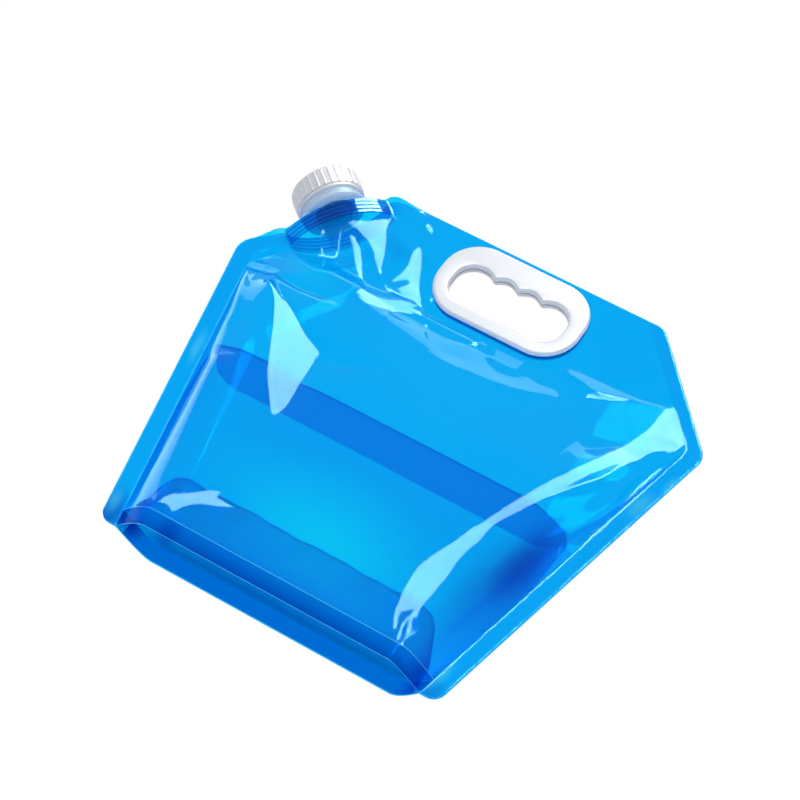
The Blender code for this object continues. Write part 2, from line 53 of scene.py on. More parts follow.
# -------- the bag's outline and filled form
HEIGHT, WIDTH, BASE, SHOULDER, SPOUT_SHOULDER, TOP = 293.0, 330.0, 235.0, 223.0, 212.0, 195.5
WELD, SKIRT = 12.0, 12.0  # width of the side welds, height of the skirts
GAP, FILM = 0.15, 0.3  # half the gap between the welded films, and one film's thickness
BELLY = 25.5  # half the bag's depth
LEVEL = 131.0  # height of the water
FOLD_POWER, FACET_SLOPE, SOFTNESS = 1.35, 0.3, 1.2
belly_table = ((0, 0.8), (0.04, 0.8), (0.15, 0.93), (0.31, 1), (0.45, 0.98), (0.62, 0.86), (0.8, 0.7), (1, 0.6))
plain_table = ((0, 0.062), (0.04, 0.062), (0.18, 0.13), (0.33, 0.135), (0.46, 0.095), (0.57, 0.05), (1, 0.03))
spout_table = ((0, 0.07), (0.04, 0.07), (0.22, 0.065), (0.44, 0.055), (0.66, 0.03), (1, 0.03))
top_table = (
    (-1, 0.67), (-0.91, 0.683), (-0.82, 0.765), (-0.54, 0.955), (-0.36, 0.84), (-0.29, 0.78), (-0.11, 0.772),
    (0.58, 0.783), (0.77, 0.83), (0.91, 0.765), (1, 0.7),
)


def look(table, place):
    keys, values = zip(*table)
    return np.interp(place, keys, values)


def side_line(z):
    return BASE / 2 + (WIDTH - BASE) / 2 / SHOULDER * z


def rounded(corners, steps):
    """Closed outline through (point, radius) corners."""
    points = []
    for i, (corner, radius) in enumerate(corners):
        corner = np.array(corner, float)
        before = np.array(corners[i - 1][0], float) - corner
        after = np.array(corners[(i + 1) % len(corners)][0], float) - corner
        before /= np.linalg.norm(before)
        after /= np.linalg.norm(after)
        opening = math.acos(before @ after)
        middle = (before + after) / np.linalg.norm(before + after)
        centre = corner + middle * radius / math.sin(opening / 2)
        start = corner + before * radius / math.tan(opening / 2) - centre
        end = corner + after * radius / math.tan(opening / 2) - centre
        turn = math.atan2(start[0] * end[1] - start[1] * end[0], start @ end)
        for k in range(steps + 1):
            c, s = math.cos(turn * k / steps), math.sin(turn * k / steps)
            points.append(centre + np.array((c * start[0] - s * start[1], s * start[0] + c * start[1])))
    return points


bag_corners = (
    ((-BASE / 2, 0), 9), ((BASE / 2, 0), 9), ((side_line(SHOULDER), SHOULDER), 11), ((TOP / 2, HEIGHT), 12),
    ((-TOP / 2, HEIGHT), 12), ((-side_line(SPOUT_SHOULDER), SPOUT_SHOULDER), 11),
)


def edge_tables(steps, shift=None):
    points = rounded(bag_corners, steps)
    if shift is None:
        shift = (max(p[0] for p in points) + min(p[0] for p in points)) / 2
    right = sorted((p[1], p[0] - shift) for p in points if p[0] > 0)
    left = sorted((p[1], p[0] - shift) for p in points if p[0] < 0)
    return left, right, shift


coarse_left, coarse_right, SHIFT = edge_tables(3)
fine_left, fine_right, _ = edge_tables(14, SHIFT)


def weld_inner(z):
    """Inner edges of the two side welds."""
    low = z < HEIGHT / 2
    left = np.where(low, -side_line(z) - SHIFT, look(coarse_left, z))
    right = np.where(low, side_line(z) - SHIFT, look(coarse_right, z))
    return left + WELD, right - WELD


# Spout frame: foot on the slanting edge, X up along the edge, Z outward square to it
low_corner = np.array((-side_line(SPOUT_SHOULDER) - SHIFT, SPOUT_SHOULDER))
high_corner = np.array((-TOP / 2 - SHIFT, HEIGHT))
ALONG = (high_corner - low_corner) / np.linalg.norm(high_corner - low_corner)
OUT = np.array((-ALONG[1], ALONG[0]))
FOOT = (low_corner + high_corner) / 2 + ALONG * 11.6
BOAT_REACH, BOAT_DEPTH, BOAT_TIP, BOAT_DROP, BOAT_HEIGHT, STUB = 33.5, 14.2, 1.0, 3.0, 11.8, 6.2
BOAT_FOOT = -BOAT_DROP - BOAT_HEIGHT
RIB_PITCH = (BOAT_HEIGHT - 1.2 - 1.8) / 3
TAB_OUT = BOAT_REACH + 1.2 + 5.6
BULGE_ROOM = 1.5


def boat_depth(place):
    rise = BOAT_DEPTH - BOAT_TIP
    radius = (BOAT_REACH**2 + rise**2) / (2 * rise)
    place = np.minimum(np.abs(place), BOAT_REACH)
    return np.sqrt(radius**2 - place**2) - radius + BOAT_DEPTH


def spout_place(x, z):
    along = (x - FOOT[0]) * ALONG[0] + (z - FOOT[1]) * ALONG[1]
    across = (x - FOOT[0]) * OUT[0] + (z - FOOT[1]) * OUT[1]
    return along, across


def spout_bulge(x, z):
    along, across = spout_place(x, z)
    ends = 1 - np.clip((np.abs(along) - TAB_OUT - 1) / WELD, 0, 1)
    stub_foot = BOAT_DROP + BOAT_HEIGHT + STUB
    fade = 1 - np.clip((-across - stub_foot) / (2 * stub_foot), 0, 1)
    return (boat_depth(along) + BULGE_ROOM) * fade * ends


def plain_depth(x, z):
    """The solid's film depth: belly, side folds, top facets and the bulge over the spout."""
    belly = BELLY * look(belly_table, z / HEIGHT)
    left, right = weld_inner(z)
    faces = []
    for reach, table in ((x - left, spout_table), (right - x, plain_table)):
        share = np.clip(reach / (WIDTH * look(table, z / HEIGHT)), 0, 1)
        faces.append(belly * (1 - (1 - share) ** FOLD_POWER))
    line = HEIGHT * look(top_table, x / (WIDTH / 2))
    faces.append(np.where(z > SKIRT, np.maximum((line - z) * FACET_SLOPE, 0), 1000))
    least = np.minimum(np.minimum(faces[0], faces[1]), faces[2])
    soft = least - SOFTNESS * np.log(sum(np.exp((least - face) / SOFTNESS) for face in faces))
    return np.maximum(np.maximum(soft, 0), spout_bulge(x, z))


# -------- folds and creases of the film
# Outlines of the flat panels between creases, seen square to the bag, as (x, z)
DART = (
    (-121.5, 183.5), (-113, 175), (-107.5, 169.5), (-103.5, 163.5), (-96.5, 153), (-90, 144), (-84, 134.5),
    (-79, 124.5), (-74.5, 116), (-69, 109), (-64, 103.5), (-61.5, 102.5), (-59, 106.5), (-58, 112.5), (-59.5, 118.5),
    (-61, 127), (-62, 136), (-63, 144.5), (-64, 150), (-66, 150), (-64.5, 156.5), (-69.5, 158.5), (-81.5, 162.5),
    (-91, 167.5), (-102.5, 174), (-112.5, 179),
)
LONG_BAND = (
    (115.5, 181.5), (118, 189.5), (120.5, 196.5), (123.5, 204), (125.5, 211.5), (127, 218.5), (127.5, 226.5),
    (127, 235), (126.5, 240.5), (127.5, 242.5), (129.5, 242), (134, 237), (139, 232.5), (144, 229), (148, 226.5),
    (149.5, 222), (147.5, 220), (143.5, 216.5), (137.5, 209), (133.5, 203.5), (130.5, 197), (128, 190), (124, 181),
    (120.5, 173), (116, 163.5), (112, 153.5), (104.5, 137.5), (96.5, 122.5), (90.5, 110), (89, 101.5), (89, 93.5),
    (87, 87.5), (85.5, 81), (85, 75.5), (85, 67), (84.5, 59.5), (84, 52.5), (83.5, 46.5), (82.5, 42.5), (81, 40.5),
    (80.5, 38), (79, 35.5), (76.5, 33), (74, 30.5), (74, 27.5), (74.5, 25), (79, 18.5), (82.5, 12.5), (81, 14),
    (77, 19), (73, 23.5), (72, 27.5), (70.5, 32.5), (69.5, 38), (68.5, 44.5), (68.5, 51), (68, 57.5), (69, 62.5),
    (71.5, 69.5), (75, 78.5), (78, 85), (81, 93), (85.5, 107.5), (90.5, 121), (96, 134.5), (101.5, 147.5),
    (109, 164.5),
)
BAND_STREAK = (
    (131.5, 224.5), (134.5, 225.5), (140, 225.5), (144.5, 225), (148.5, 222.5), (144.5, 222), (139.5, 222.5),
    (135, 222.5),
)
WELD_ROLL = (
    (149.5, 221.5), (149, 218.5), (147, 212), (145, 205.5), (142.5, 197.5), (140, 189.5), (139, 182.5), (138, 176),
    (137.3, 168.5), (135.2, 156.5), (132.5, 143), (130, 125), (131.5, 130.5), (135.5, 146), (138.3, 160),
    (141.5, 174.5), (143, 183), (144.8, 191.5), (146.5, 200.5), (148.8, 211),
)
HOOK = (
    (-109.5, 254), (-98.5, 243), (-81.5, 223.5), (-70.5, 209), (-63.5, 207), (-53.5, 210.5), (-46, 215.5),
    (-40.5, 221), (-39.5, 227.5), (-41, 231.5), (-47.5, 239), (-55, 252.5), (-62, 264), (-65.5, 266), (-64.5, 259),
    (-61.5, 250.5), (-62, 241.5), (-64.5, 230.5), (-65, 226), (-69.5, 230), (-74.5, 238), (-79.5, 249), (-85, 259.5),
    (-89, 265), (-92, 276),
)
HOOK_STROKE = (
    (-101, 249), (-98.5, 252), (-93.5, 251.5), (-86.5, 247.5), (-77.5, 238), (-69.5, 230), (-62, 225.5), (-53.5, 229),
    (-43.5, 230), (-43.5, 226), (-48.5, 223.5), (-55, 219.5), (-63.5, 216.5), (-73, 219.5), (-82, 229), (-92.5, 244),
    (-99.5, 248),
)
HOOK_EYE = (
    (-63.5, 229.5), (-62, 235.5), (-59.5, 239.5), (-56.5, 240.5), (-54, 239), (-55, 235), (-59, 230), (-63, 227.5),
)
LENS = (
    (-24.5, 212.5), (-20, 206.5), (-11.5, 199), (-4, 196), (3.5, 194), (16.5, 196.5), (29.5, 198), (45, 201.5),
    (56, 206.5), (67, 214.5), (66, 217.5), (62, 217.5), (57.5, 216), (51, 215), (45.5, 217), (35.5, 217), (24.5, 218),
    (15, 217), (4, 219), (-6.5, 216), (-13.5, 215.5), (-19.5, 215),
)
LENS_EYE = ((-8.5, 203), (-8.5, 209), (-4.5, 213), (0.5, 215), (7, 212), (8, 208), (5, 203.5), (-1.5, 201.5))
LENS_EYE_2 = (
    (14.5, 214), (16.5, 217), (25, 217), (36, 217), (41.5, 216.5), (41.5, 212), (36, 208.5), (27.5, 208), (20, 210),
)
SHOULDER_SHEEN = (
    (62, 232), (71, 240.5), (81.5, 240.5), (91, 242.5), (103.5, 245), (114.5, 246), (125.5, 245), (118.5, 242.5),
    (110.5, 238.5), (100, 233), (90.5, 228.5), (83.5, 228), (73.5, 230.5),
)
SLIVER = (
    (-87, 14), (-82, 24), (-74, 30.5), (-64, 35), (-54, 38), (-43, 39.5), (-54, 34), (-64, 30), (-72, 25.5),
    (-79, 20),
)
LEFT_SHEEN = (
    (-141.5, 188), (-127, 174.5), (-118, 167), (-115.5, 163.5), (-111.5, 153.5), (-107, 143.5), (-103.5, 131),
    (-103, 120.5), (-116.5, 123.5), (-123, 142.5), (-121, 151.5), (-128.5, 167), (-137.5, 180.5),
)
CORNER_SHEEN = (
    (-125, 194), (-117, 193.5), (-110.5, 191.5), (-101, 192), (-107.5, 188), (-113.5, 187.5), (-120.5, 190.5),
)
# The film inside and around the hook
HOOK_LEFT = ((-66, 148), (-73, 207)) + HOOK[2::-1] + ((-112, 248), (-100, 225), (-90, 190), (-76, 160))
HOOK_BELOW = ((-66, 146), (-49, 209), (-53.5, 210.5), (-63.5, 207), (-70.5, 209), (-76, 209))
HOOK_RIGHT = (
    (-66, 148), (-49, 209), (-40.5, 221), (-40, 224), (-33, 224), (-26, 213), (-21, 206), (-12, 198), (-14, 176),
    (-44, 158),
)
HOOK_GAP_EDGE = 11  # its side towards the handle, from this corner to the next
HOOK_GAP = (
    *HOOK[18:9:-1], (-41, 232), (-34, 240), (-34, 262), (-60, 290), (-92, 292), (-92, 276), *HOOK[23:18:-1],
)
# Quiet places beside the highlights
ABOVE_DART = (
    (-120, 190), (-112, 204), (-98, 214), (-88, 206), (-82, 190), (-76, 172), (-70, 160), (-81.5, 164), (-91, 169),
    (-102.5, 175.5), (-112.5, 181),
)
BESIDE_SHEEN = (
    (-111.5, 156), (-107, 143.5), (-103.5, 131), (-103, 114), (-76, 114), (-81, 125), (-86, 134.5), (-92, 144),
    (-98.5, 153), (-105, 162), (-110, 168),
)
BESIDE_LENS = ((-34, 224), (-24.5, 213), (-13.5, 216), (-6.5, 217), (4, 220), (0, 230), (-20, 232))
BELOW_LENS = ((-13, 198), (6, 193), (22, 182), (24, 166), (4, 160), (-15, 168), (-14, 176))
BELOW_SHOULDER = (
    (84, 222), (90, 227), (100, 231), (110, 236), (118, 240), (128, 243), (146, 228), (146, 222), (120, 216),
    (100, 214),
)
BESIDE_BAND = ((100, 196), (112, 214), (124, 218), (136, 216), (132, 206), (118, 196), (104, 184))
LOOSE_CORNER = ((55, 220), (58, 238), (90, 248), (130, 250), (147, 232), (150, 222), (120, 218), (80, 216))
# Each panel's slope sideways and up the bag; None leaves that slope to the film around it
PANELS = (
    (ABOVE_DART, 0.0, None), (BESIDE_SHEEN, 0.05, None), (BESIDE_LENS, 0.02, None), (BELOW_LENS, 0.0, None),
    (BELOW_SHOULDER, 0.04, -0.2), (BESIDE_BAND, 0.04, -0.22), (SLIVER, -0.24, 0.1), (HOOK_LEFT, 0.0, None),
    (HOOK_BELOW, -0.06, None), (HOOK_RIGHT, -0.06, None), (HOOK_GAP, 0.03, None), (DART, -0.24, -0.12),
    (LONG_BAND, -0.2, None), (BAND_STREAK, -0.05, None), (WELD_ROLL, -0.2, None), (HOOK, -0.23, None),
    (HOOK_STROKE, 0.14, None), (HOOK_EYE, 0.2, None), (LENS, 0, -0.46), (LENS_EYE, 0, -0.27),
    (LENS_EYE_2, 0, -0.27), (SHOULDER_SHEEN, 0, -0.44), (CORNER_SHEEN, 0, -0.44), (LEFT_SHEEN, 0.45, None),
)
# The grid of the lift: its left end and step in millimetres, and the most rounds of its relaxation
FIELD_LEFT, FIELD_STEP, FIELD_ROUNDS = -165, 0.8, 900
# How firmly the slopes are held in a panel and outside the panels, and the lift itself at zero
PANEL_HOLD, OTHER_HOLD, TIE = 9.0, 0.10, 0.0006
RUN_OUT = 14  # width in which the lift runs out beside the handle


def within(x, z, outline):
    """Which places lie inside a closed outline."""
    odd = np.zeros(x.shape, bool)
    for (ax, az), (bx, bz) in zip(outline, outline[1:] + outline[:1]):
        if az != bz:
            crosses = (az > z) != (bz > z)
            odd ^= crosses & (x < ax + (z - az) * (bx - ax) / (bz - az))
    return odd


def settle(panels):
    """The lift of the film over its plain form: the least uneven surface that has the panels' slopes."""
    xs = np.arange(FIELD_LEFT, 1 - FIELD_LEFT, FIELD_STEP)
    zs = np.arange(0, HEIGHT + 1, FIELD_STEP)
    gx, gz = np.meshgrid(xs, zs)
    base = plain_depth(gx, gz)
    across, up = np.zeros((len(zs), len(xs) - 1)), np.zeros((len(zs) - 1, len(xs)))
    hold_across, hold_up = np.full(across.shape, OTHER_HOLD), np.full(up.shape, OTHER_HOLD)
    for outline, slope_across, slope_up in panels:
        if slope_across is not None:
            inside = within(gx[:, :-1] + FIELD_STEP / 2, gz[:, :-1], outline)
            across[inside] = slope_across * FIELD_STEP - np.diff(base, axis=1)[inside]
            hold_across[inside] = PANEL_HOLD
        if slope_up is not None:
            inside = within(gx[:-1], gz[:-1] + FIELD_STEP / 2, outline)
            up[inside] = slope_up * FIELD_STEP - np.diff(base, axis=0)[inside]
            hold_up[inside] = PANEL_HOLD
    left, right = weld_inner(gz)
    along, out = spout_place(gx, gz)
    boat = (np.abs(along) < TAB_OUT + 2) & (out > BOAT_FOOT - 0.5)
    loose = base > 0.2
    for outline in (LOOSE_CORNER, HOOK, HOOK_GAP):
        loose |= within(gx, gz, outline)
    free = ((gx > left + 0.5) & (gx < right - 0.5) & (gz > SKIRT) & ~boat & loose).astype(float)

    def pull(total, a, b):
        """Adds what steps a across and b up the grid ask of its points, where the film is free."""
        total[:, :-1] -= a
        total[:, 1:] += a
        total[:-1] -= b
        total[1:] += b
        return total * free

    # Conjugate gradients
    goal = pull(np.zeros(base.shape), across * hold_across, up * hold_up)
    field, rest = np.zeros(base.shape), goal.copy()
    way, size = rest.copy(), (rest * rest).sum()
    for _ in range(FIELD_ROUNDS):
        pulled = pull(TIE * way, np.diff(way, axis=1) * hold_across, np.diff(way, axis=0) * hold_up)
        step = size / (way * pulled).sum()
        field += step * way
        rest -= step * pulled
        fresh = (rest * rest).sum()
        if fresh < 1e-6 * (goal * goal).sum():
            break
        way = rest + way * fresh / size
        size = fresh
    # The lift runs out towards the edge of the hook's film on the handle's side
    (ax, az), (bx, bz) = HOOK_GAP[HOOK_GAP_EDGE], HOOK_GAP[HOOK_GAP_EDGE + 1]
    from_edge = ((gx - ax) * (az - bz) + (gz - az) * (bx - ax)) / math.hypot(bx - ax, bz - az)
    return np.where(within(gx, gz, HOOK_GAP), field * np.clip(from_edge / RUN_OUT, 0, 1), field)


def read_field(field, x, z):
    """A field's value between its grid points."""
    column = np.clip((x - FIELD_LEFT) / FIELD_STEP, 0, field.shape[1] - 1.001)
    row = np.clip(z / FIELD_STEP, 0, field.shape[0] - 1.001)
    i, j = column.astype(int), row.astype(int)
    u, v = column - i, row - j
    low = field[j, i] * (1 - u) + field[j, i + 1] * u
    high = field[j + 1, i] * (1 - u) + field[j + 1, i + 1] * u
    return low * (1 - v) + high * v


def near_path(x, z, path):
    """Signed distance to a path and the share of its length at the nearest point."""
    path = np.array(path, float)
    lengths = np.linalg.norm(path[1:] - path[:-1], axis=1)
    total, start = lengths.sum(), 0.0
    best = np.full(x.shape, 1e9)
    side = np.zeros(x.shape)
    share = np.zeros(x.shape)
    for a, b, length in zip(path, path[1:], lengths):
        ux, uz = (b - a) / length
        t = np.clip((x - a[0]) * ux + (z - a[1]) * uz, 0, length)
        dx, dz = x - a[0] - ux * t, z - a[1] - uz * t
        far = np.hypot(dx, dz)
        closer = far < best
        best = np.where(closer, far, best)
        side = np.where(closer, np.sign(ux * dz - uz * dx), side)
        share = np.where(closer, (start + t) / total, share)
        start += length
    return best * side, share


def ridge(x, z, path, rise, reach, taper, sharp=True):
    """A fold along a path, tapering at both ends. reach is for its left and right side."""
    far, share = near_path(x, z, path)
    wide = np.where(far > 0, reach[0], reach[1])
    fall = np.clip(1 - np.abs(far) / wide, 0, 1)
    if not sharp:
        fall = fall * fall * (3 - 2 * fall)
    ends = np.clip(np.minimum(share, 1 - share) / taper, 0, 1)
    return rise * fall * ends * (2 - ends)


def star(x, z, centre, rise, radius, count, turn):
    """Creases that run together in a pinch point."""
    dx, dz = x - centre[0], z - centre[1]
    far = np.hypot(dx, dz) / radius
    wave = np.abs(np.sin(np.arctan2(dz, dx) * count / 2 + turn)) - 0.5
    return rise * wave * far * np.exp(1 - far) * np.clip(2.2 - far, 0, 1)


def ripple(x, z, seed):
    """Slack of the film: a few long low waves in set directions."""
    total = np.zeros(x.shape)
    for k in range(6):
        turn = seed + k * 2.399
        wave = 34 + 17 * k
        total += 0.0009 * wave * np.sin((x * math.cos(turn) + z * math.sin(turn)) * math.tau / wave + seed * (k + 1))
    return total


PANEL_LIFT = settle(PANELS)


# Small folds: their path, rise, reach to the left and right, taper and whether the crest is sharp
RIDGES = {
    -1: (
        (((-149, 198), (-135, 196), (-120, 194.5), (-103.5, 192.5), (-90, 194.5), (-75.5, 197.5)), -1.3, (5, 4), 0.3),
        (((-151, 197.5), (-150, 200.5), (-145, 201.5), (-139, 201.5), (-131, 201), (-120, 200.5)),
         0.5, (1.6, 1.2), 0.3),
        (((-91, 187), (-83.5, 190), (-74, 194.5)), 0.35, (1.2, 1.2), 0.3),
        (((82, 13), (80, 19), (78.5, 24.5), (79, 28), (81, 29.5), (85, 31), (88, 32), (90, 32), (91.5, 31)),
         0.5, (1.3, 1.3), 0.1),
        (((83.5, 12), (87.5, 19), (90, 26)), 0.5, (1.3, 1.3), 0.2),
        (((149, 225), (120, 216), (84, 213), (50, 216)), 0.3, (7, 9), 0.3, False),
        (((84, 14), (104, 40), (116, 74), (124, 110)), 0.9, (6, 6), 0.3),
    ),
    1: (
        (((149, 223), (122, 170), (104, 110), (88, 50), (84, 14)), 1.2, (8, 8), 0.2),
        (((-150, 200), (-118, 160), (-106, 100), (-90, 14)), 1.2, (8, 8), 0.2),
        (((-90, 60), (-20, 54), (50, 57), (90, 50)), 0.6, (10, 14), 0.3, False),
        (((-120, 190), (-40, 176), (60, 184), (130, 205)), 0.9, (12, 12), 0.3, False),
    ),
}
# Pinch points: centre, rise, radius, number of creases and turn
PINCHES = {
    -1: (((-88, 12.5), 0.4, 9, 5, 1.0), ((149, 223), 0.5, 7, 5, 0.2), ((-150, 200), 0.4, 8, 5, 0.9)),
    1: (((149, 223), 0.7, 10, 7, 0.7), ((-150, 200), 0.6, 9, 7, 0.1)),
}


def film_depth(x, z, side):
    """Distance of the film's inner face from the middle plane. side is -1 at the front."""
    base = plain_depth(x, z)
    left, right = weld_inner(z)
    free = np.clip(np.minimum(x - left, right - x) / 3, 0, 1) * np.clip((z - SKIRT + 1) / 4, 0.25, 1)
    slack = np.clip(base / 4, 0, 1) * free
    along, out = spout_place(x, z)
    off_boat = np.clip((np.abs(along) - TAB_OUT - 2) / 3, 0, 1) + np.clip((BOAT_FOOT - out) / 2, 0, 1)
    folds = sum([ridge(x, z, *fold) for fold in RIDGES[side]] + [star(x, z, *pinch) for pinch in PINCHES[side]])
    if side < 0:
        base = base + read_field(PANEL_LIFT, x, z)
    waves = ripple(x, z, 0.7 if side < 0 else 2.1)
    return np.maximum(base + (folds * free + waves * slack) * np.clip(off_boat, 0, 1), 0)


# -------- meshes
def add_object(name, data, materials=()):
    for material in materials:
        data.materials.append(material)
    item = bpy.data.objects.new(name, data)
    bpy.context.scene.collection.objects.link(item)
    return item


@contextmanager
def edited(mesh):
    """The mesh, open for changes."""
    shell = bmesh.new()
    shell.from_mesh(mesh)
    yield shell
    shell.to_mesh(mesh)
    shell.free()


def new_piece(name, points, faces, materials, kinds=None, scale=MM):
    """A smooth-shaded object. kinds gives each face's place among the materials."""
    mesh = bpy.data.meshes.new(name)
    mesh.from_pydata((np.array(points, float) * scale).tolist(), [], faces)
    if kinds is not None:
        mesh.polygons.foreach_set("material_index", np.array(kinds, np.int32))
    mesh.polygons.foreach_set("use_smooth", np.full(len(mesh.polygons), True))
    mesh.update()
    return add_object(name, mesh, materials)


def outward(piece):
    """Turns all faces of a closed piece outwards."""
    with edited(piece.data) as shell:
        bmesh.ops.recalc_face_normals(shell, faces=shell.faces)
        if shell.calc_volume(signed=True) < 0:
            bmesh.ops.reverse_faces(shell, faces=shell.faces)
    return piece


def closed_sheet(name, grid, offset, materials, keep=None, kind_of=None):
    """A sheet through a grid of points (rows, columns, 3), thickened by an offset grid, with its rims closed."""
    rows, columns = grid.shape[:2]
    count = rows * columns
    points = np.concatenate([grid.reshape(-1, 3), offset.reshape(-1, 3)])
    index = np.arange(count).reshape(rows, columns)
    quads = np.stack([index[:-1, :-1], index[:-1, 1:], index[1:, 1:], index[1:, :-1]], -1).reshape(-1, 4)
    if keep is not None:
        quads = quads[keep.reshape(-1)]
    faces = [tuple(q) for q in quads] + [tuple(q[::-1] + count) for q in quads]
    edges = {}
    for q in quads:
        for a, b in ((q[0], q[1]), (q[1], q[2]), (q[2], q[3]), (q[3], q[0])):
            key = (min(a, b), max(a, b))
            edges[key] = None if key in edges else (a, b)
    rims = [e for e in edges.values() if e is not None]
    faces += [(b, a, a + count, b + count) for a, b in rims]
    used = np.zeros(2 * count, bool)
    used[quads.reshape(-1)] = True
    used[quads.reshape(-1) + count] = True
    renumber = np.cumsum(used) - 1
    faces = [tuple(renumber[list(f)].tolist()) for f in faces]
    kinds = None
    if kind_of is not None:
        middle = points[quads].mean(1)
        kinds = np.concatenate([kind_of(middle), kind_of(middle), np.ones(len(rims))])
    return outward(new_piece(name, points[used], faces, materials, kinds))


def tube_faces(rings, size, closed=False):
    """Quads between closed loops of points. closed joins the last loop to the first one too."""
    faces = []
    for r in range(rings if closed else rings - 1):
        n = (r + 1) % rings
        for i in range(size):
            j = (i + 1) % size
            faces.append((r * size + i, r * size + j, n * size + j, n * size + i))
    return faces


def closed_loft(name, loops, materials, kind_of=lambda place: 0):
    """A tube through loops of equal size, with a fan over each end. kind_of goes by the place in a loop."""
    rings, size = len(loops), len(loops[0])
    points = [p for loop in loops for p in loop]
    faces = tube_faces(rings, size)
    kinds = [kind_of(i) for i in range(size)] * (rings - 1)
    for r in (0, rings - 1):
        centre = np.mean(np.array(loops[r]), axis=0)
        points.append(tuple(centre))
        hub = len(points) - 1
        for i in range(size):
            faces.append((r * size + i, r * size + (i + 1) % size, hub))
            kinds.append(0)
    return outward(new_piece(name, points, faces, materials, kinds))


def on_spout(point):
    """A point given in the spout's own frame, in the bag's frame."""
    x, y, h = point
    place = FOOT + ALONG * x + OUT * h
    return (place[0], y, place[1])


def turned(name, profile, material, steps, bend=None):
    """A closed profile of (radius, height) turned about the spout's axis. bend changes a radius by its angle."""
    points = []
    for s in range(steps):
        turn = math.tau * s / steps
        for radius, height in profile:
            r = bend(radius, height, turn) if bend else radius
            points.append(on_spout((r * math.cos(turn), r * math.sin(turn), height)))
    piece = new_piece(name, points, tube_faces(steps, len(profile), True), [material])
    with edited(piece.data) as shell:
        bmesh.ops.remove_doubles(shell, verts=shell.verts, dist=0.002 * MM)
        bmesh.ops.dissolve_degenerate(shell, edges=shell.edges, dist=0.001 * MM)
    return outward(piece)


def sharpen(piece, degrees=35):
    """Keeps edges sharper than an angle crisp under smooth shading."""
    with edited(piece.data) as shell:
        for edge in shell.edges:
            if len(edge.link_faces) == 2 and edge.calc_face_angle(0) > math.radians(degrees):
                edge.smooth = False
    return piece


def joined(name, pieces):
    """Several meshes as one piece, each with its own material."""
    materials = []
    mesh = bpy.data.meshes.new(name)
    with edited(mesh) as shell:
        for piece in pieces:
            material = piece.data.materials[0]
            if material not in materials:
                materials.append(material)
            first = len(shell.faces)
            shell.from_mesh(piece.data)
            shell.faces.ensure_lookup_table()
            for face in shell.faces[first:]:
                face.material_index = materials.index(material)
            bpy.data.objects.remove(piece, do_unlink=True)
    return add_object(name, mesh, materials)


# -------- materials
def tree_of(name):
    material = bpy.data.materials.new(name)
    material.use_nodes = True
    material.node_tree.nodes.clear()
    return material, material.node_tree


def fill(tree, socket, value):
    """Sets a socket, or links it to an output or to a node's first output."""
    if isinstance(value, bpy.types.Node):
        value = value.outputs[0]
    if isinstance(value, bpy.types.NodeSocket):
        tree.links.new(value, socket)
    else:
        socket.default_value = value


def node(tree, kind, *values, **named):
    """A new node. Named values are its properties and sockets, with _ for a space, the others its first sockets."""
    made = tree.nodes.new(kind)
    for key, value in named.items():
        if key.replace("_", " ") in made.inputs:
            fill(tree, made.inputs[key.replace("_", " ")], value)
        else:
            setattr(made, key, value)
    for socket, value in zip(made.inputs, values):
        fill(tree, socket, value)
    return made


def calc(tree, operation, first, second):
    return node(tree, "ShaderNodeMath", first, second, operation=operation).outputs[0]


def mix_colour(tree, factor, first, second):
    return node(tree, "ShaderNodeMix", data_type="RGBA", Factor=factor, A=first, B=second).outputs["Result"]


def mix_shader(tree, factor, first, second):
    return node(tree, "ShaderNodeMixShader", factor, first, second)


def noise(tree, place, scale, detail):
    return node(tree, "ShaderNodeTexNoise", Vector=place, Scale=scale, Detail=detail).outputs["Fac"]


def spot_sum(tree, place, spots):
    """Soft-edged patches: each is a place and a reach in millimetres, a strength, and a lean to the right."""
    total = None
    for centre, reach, strength, *lean in spots:
        mapping = node(
            tree, "ShaderNodeMapping", vector_type="TEXTURE", Vector=place, Location=[c * MM for c in centre],
            Rotation=(0, math.radians(sum(lean)), 0), Scale=[r * MM for r in reach])
        length = node(tree, "ShaderNodeVectorMath", mapping, operation="LENGTH").outputs["Value"]
        one = node(
            tree, "ShaderNodeMapRange", interpolation_type="SMOOTHSTEP", Value=length, To_Min=strength, To_Max=0.0,
        ).outputs["Result"]
        total = one if total is None else calc(tree, "ADD", total, one)
    return calc(tree, "MINIMUM", total, 1.0)


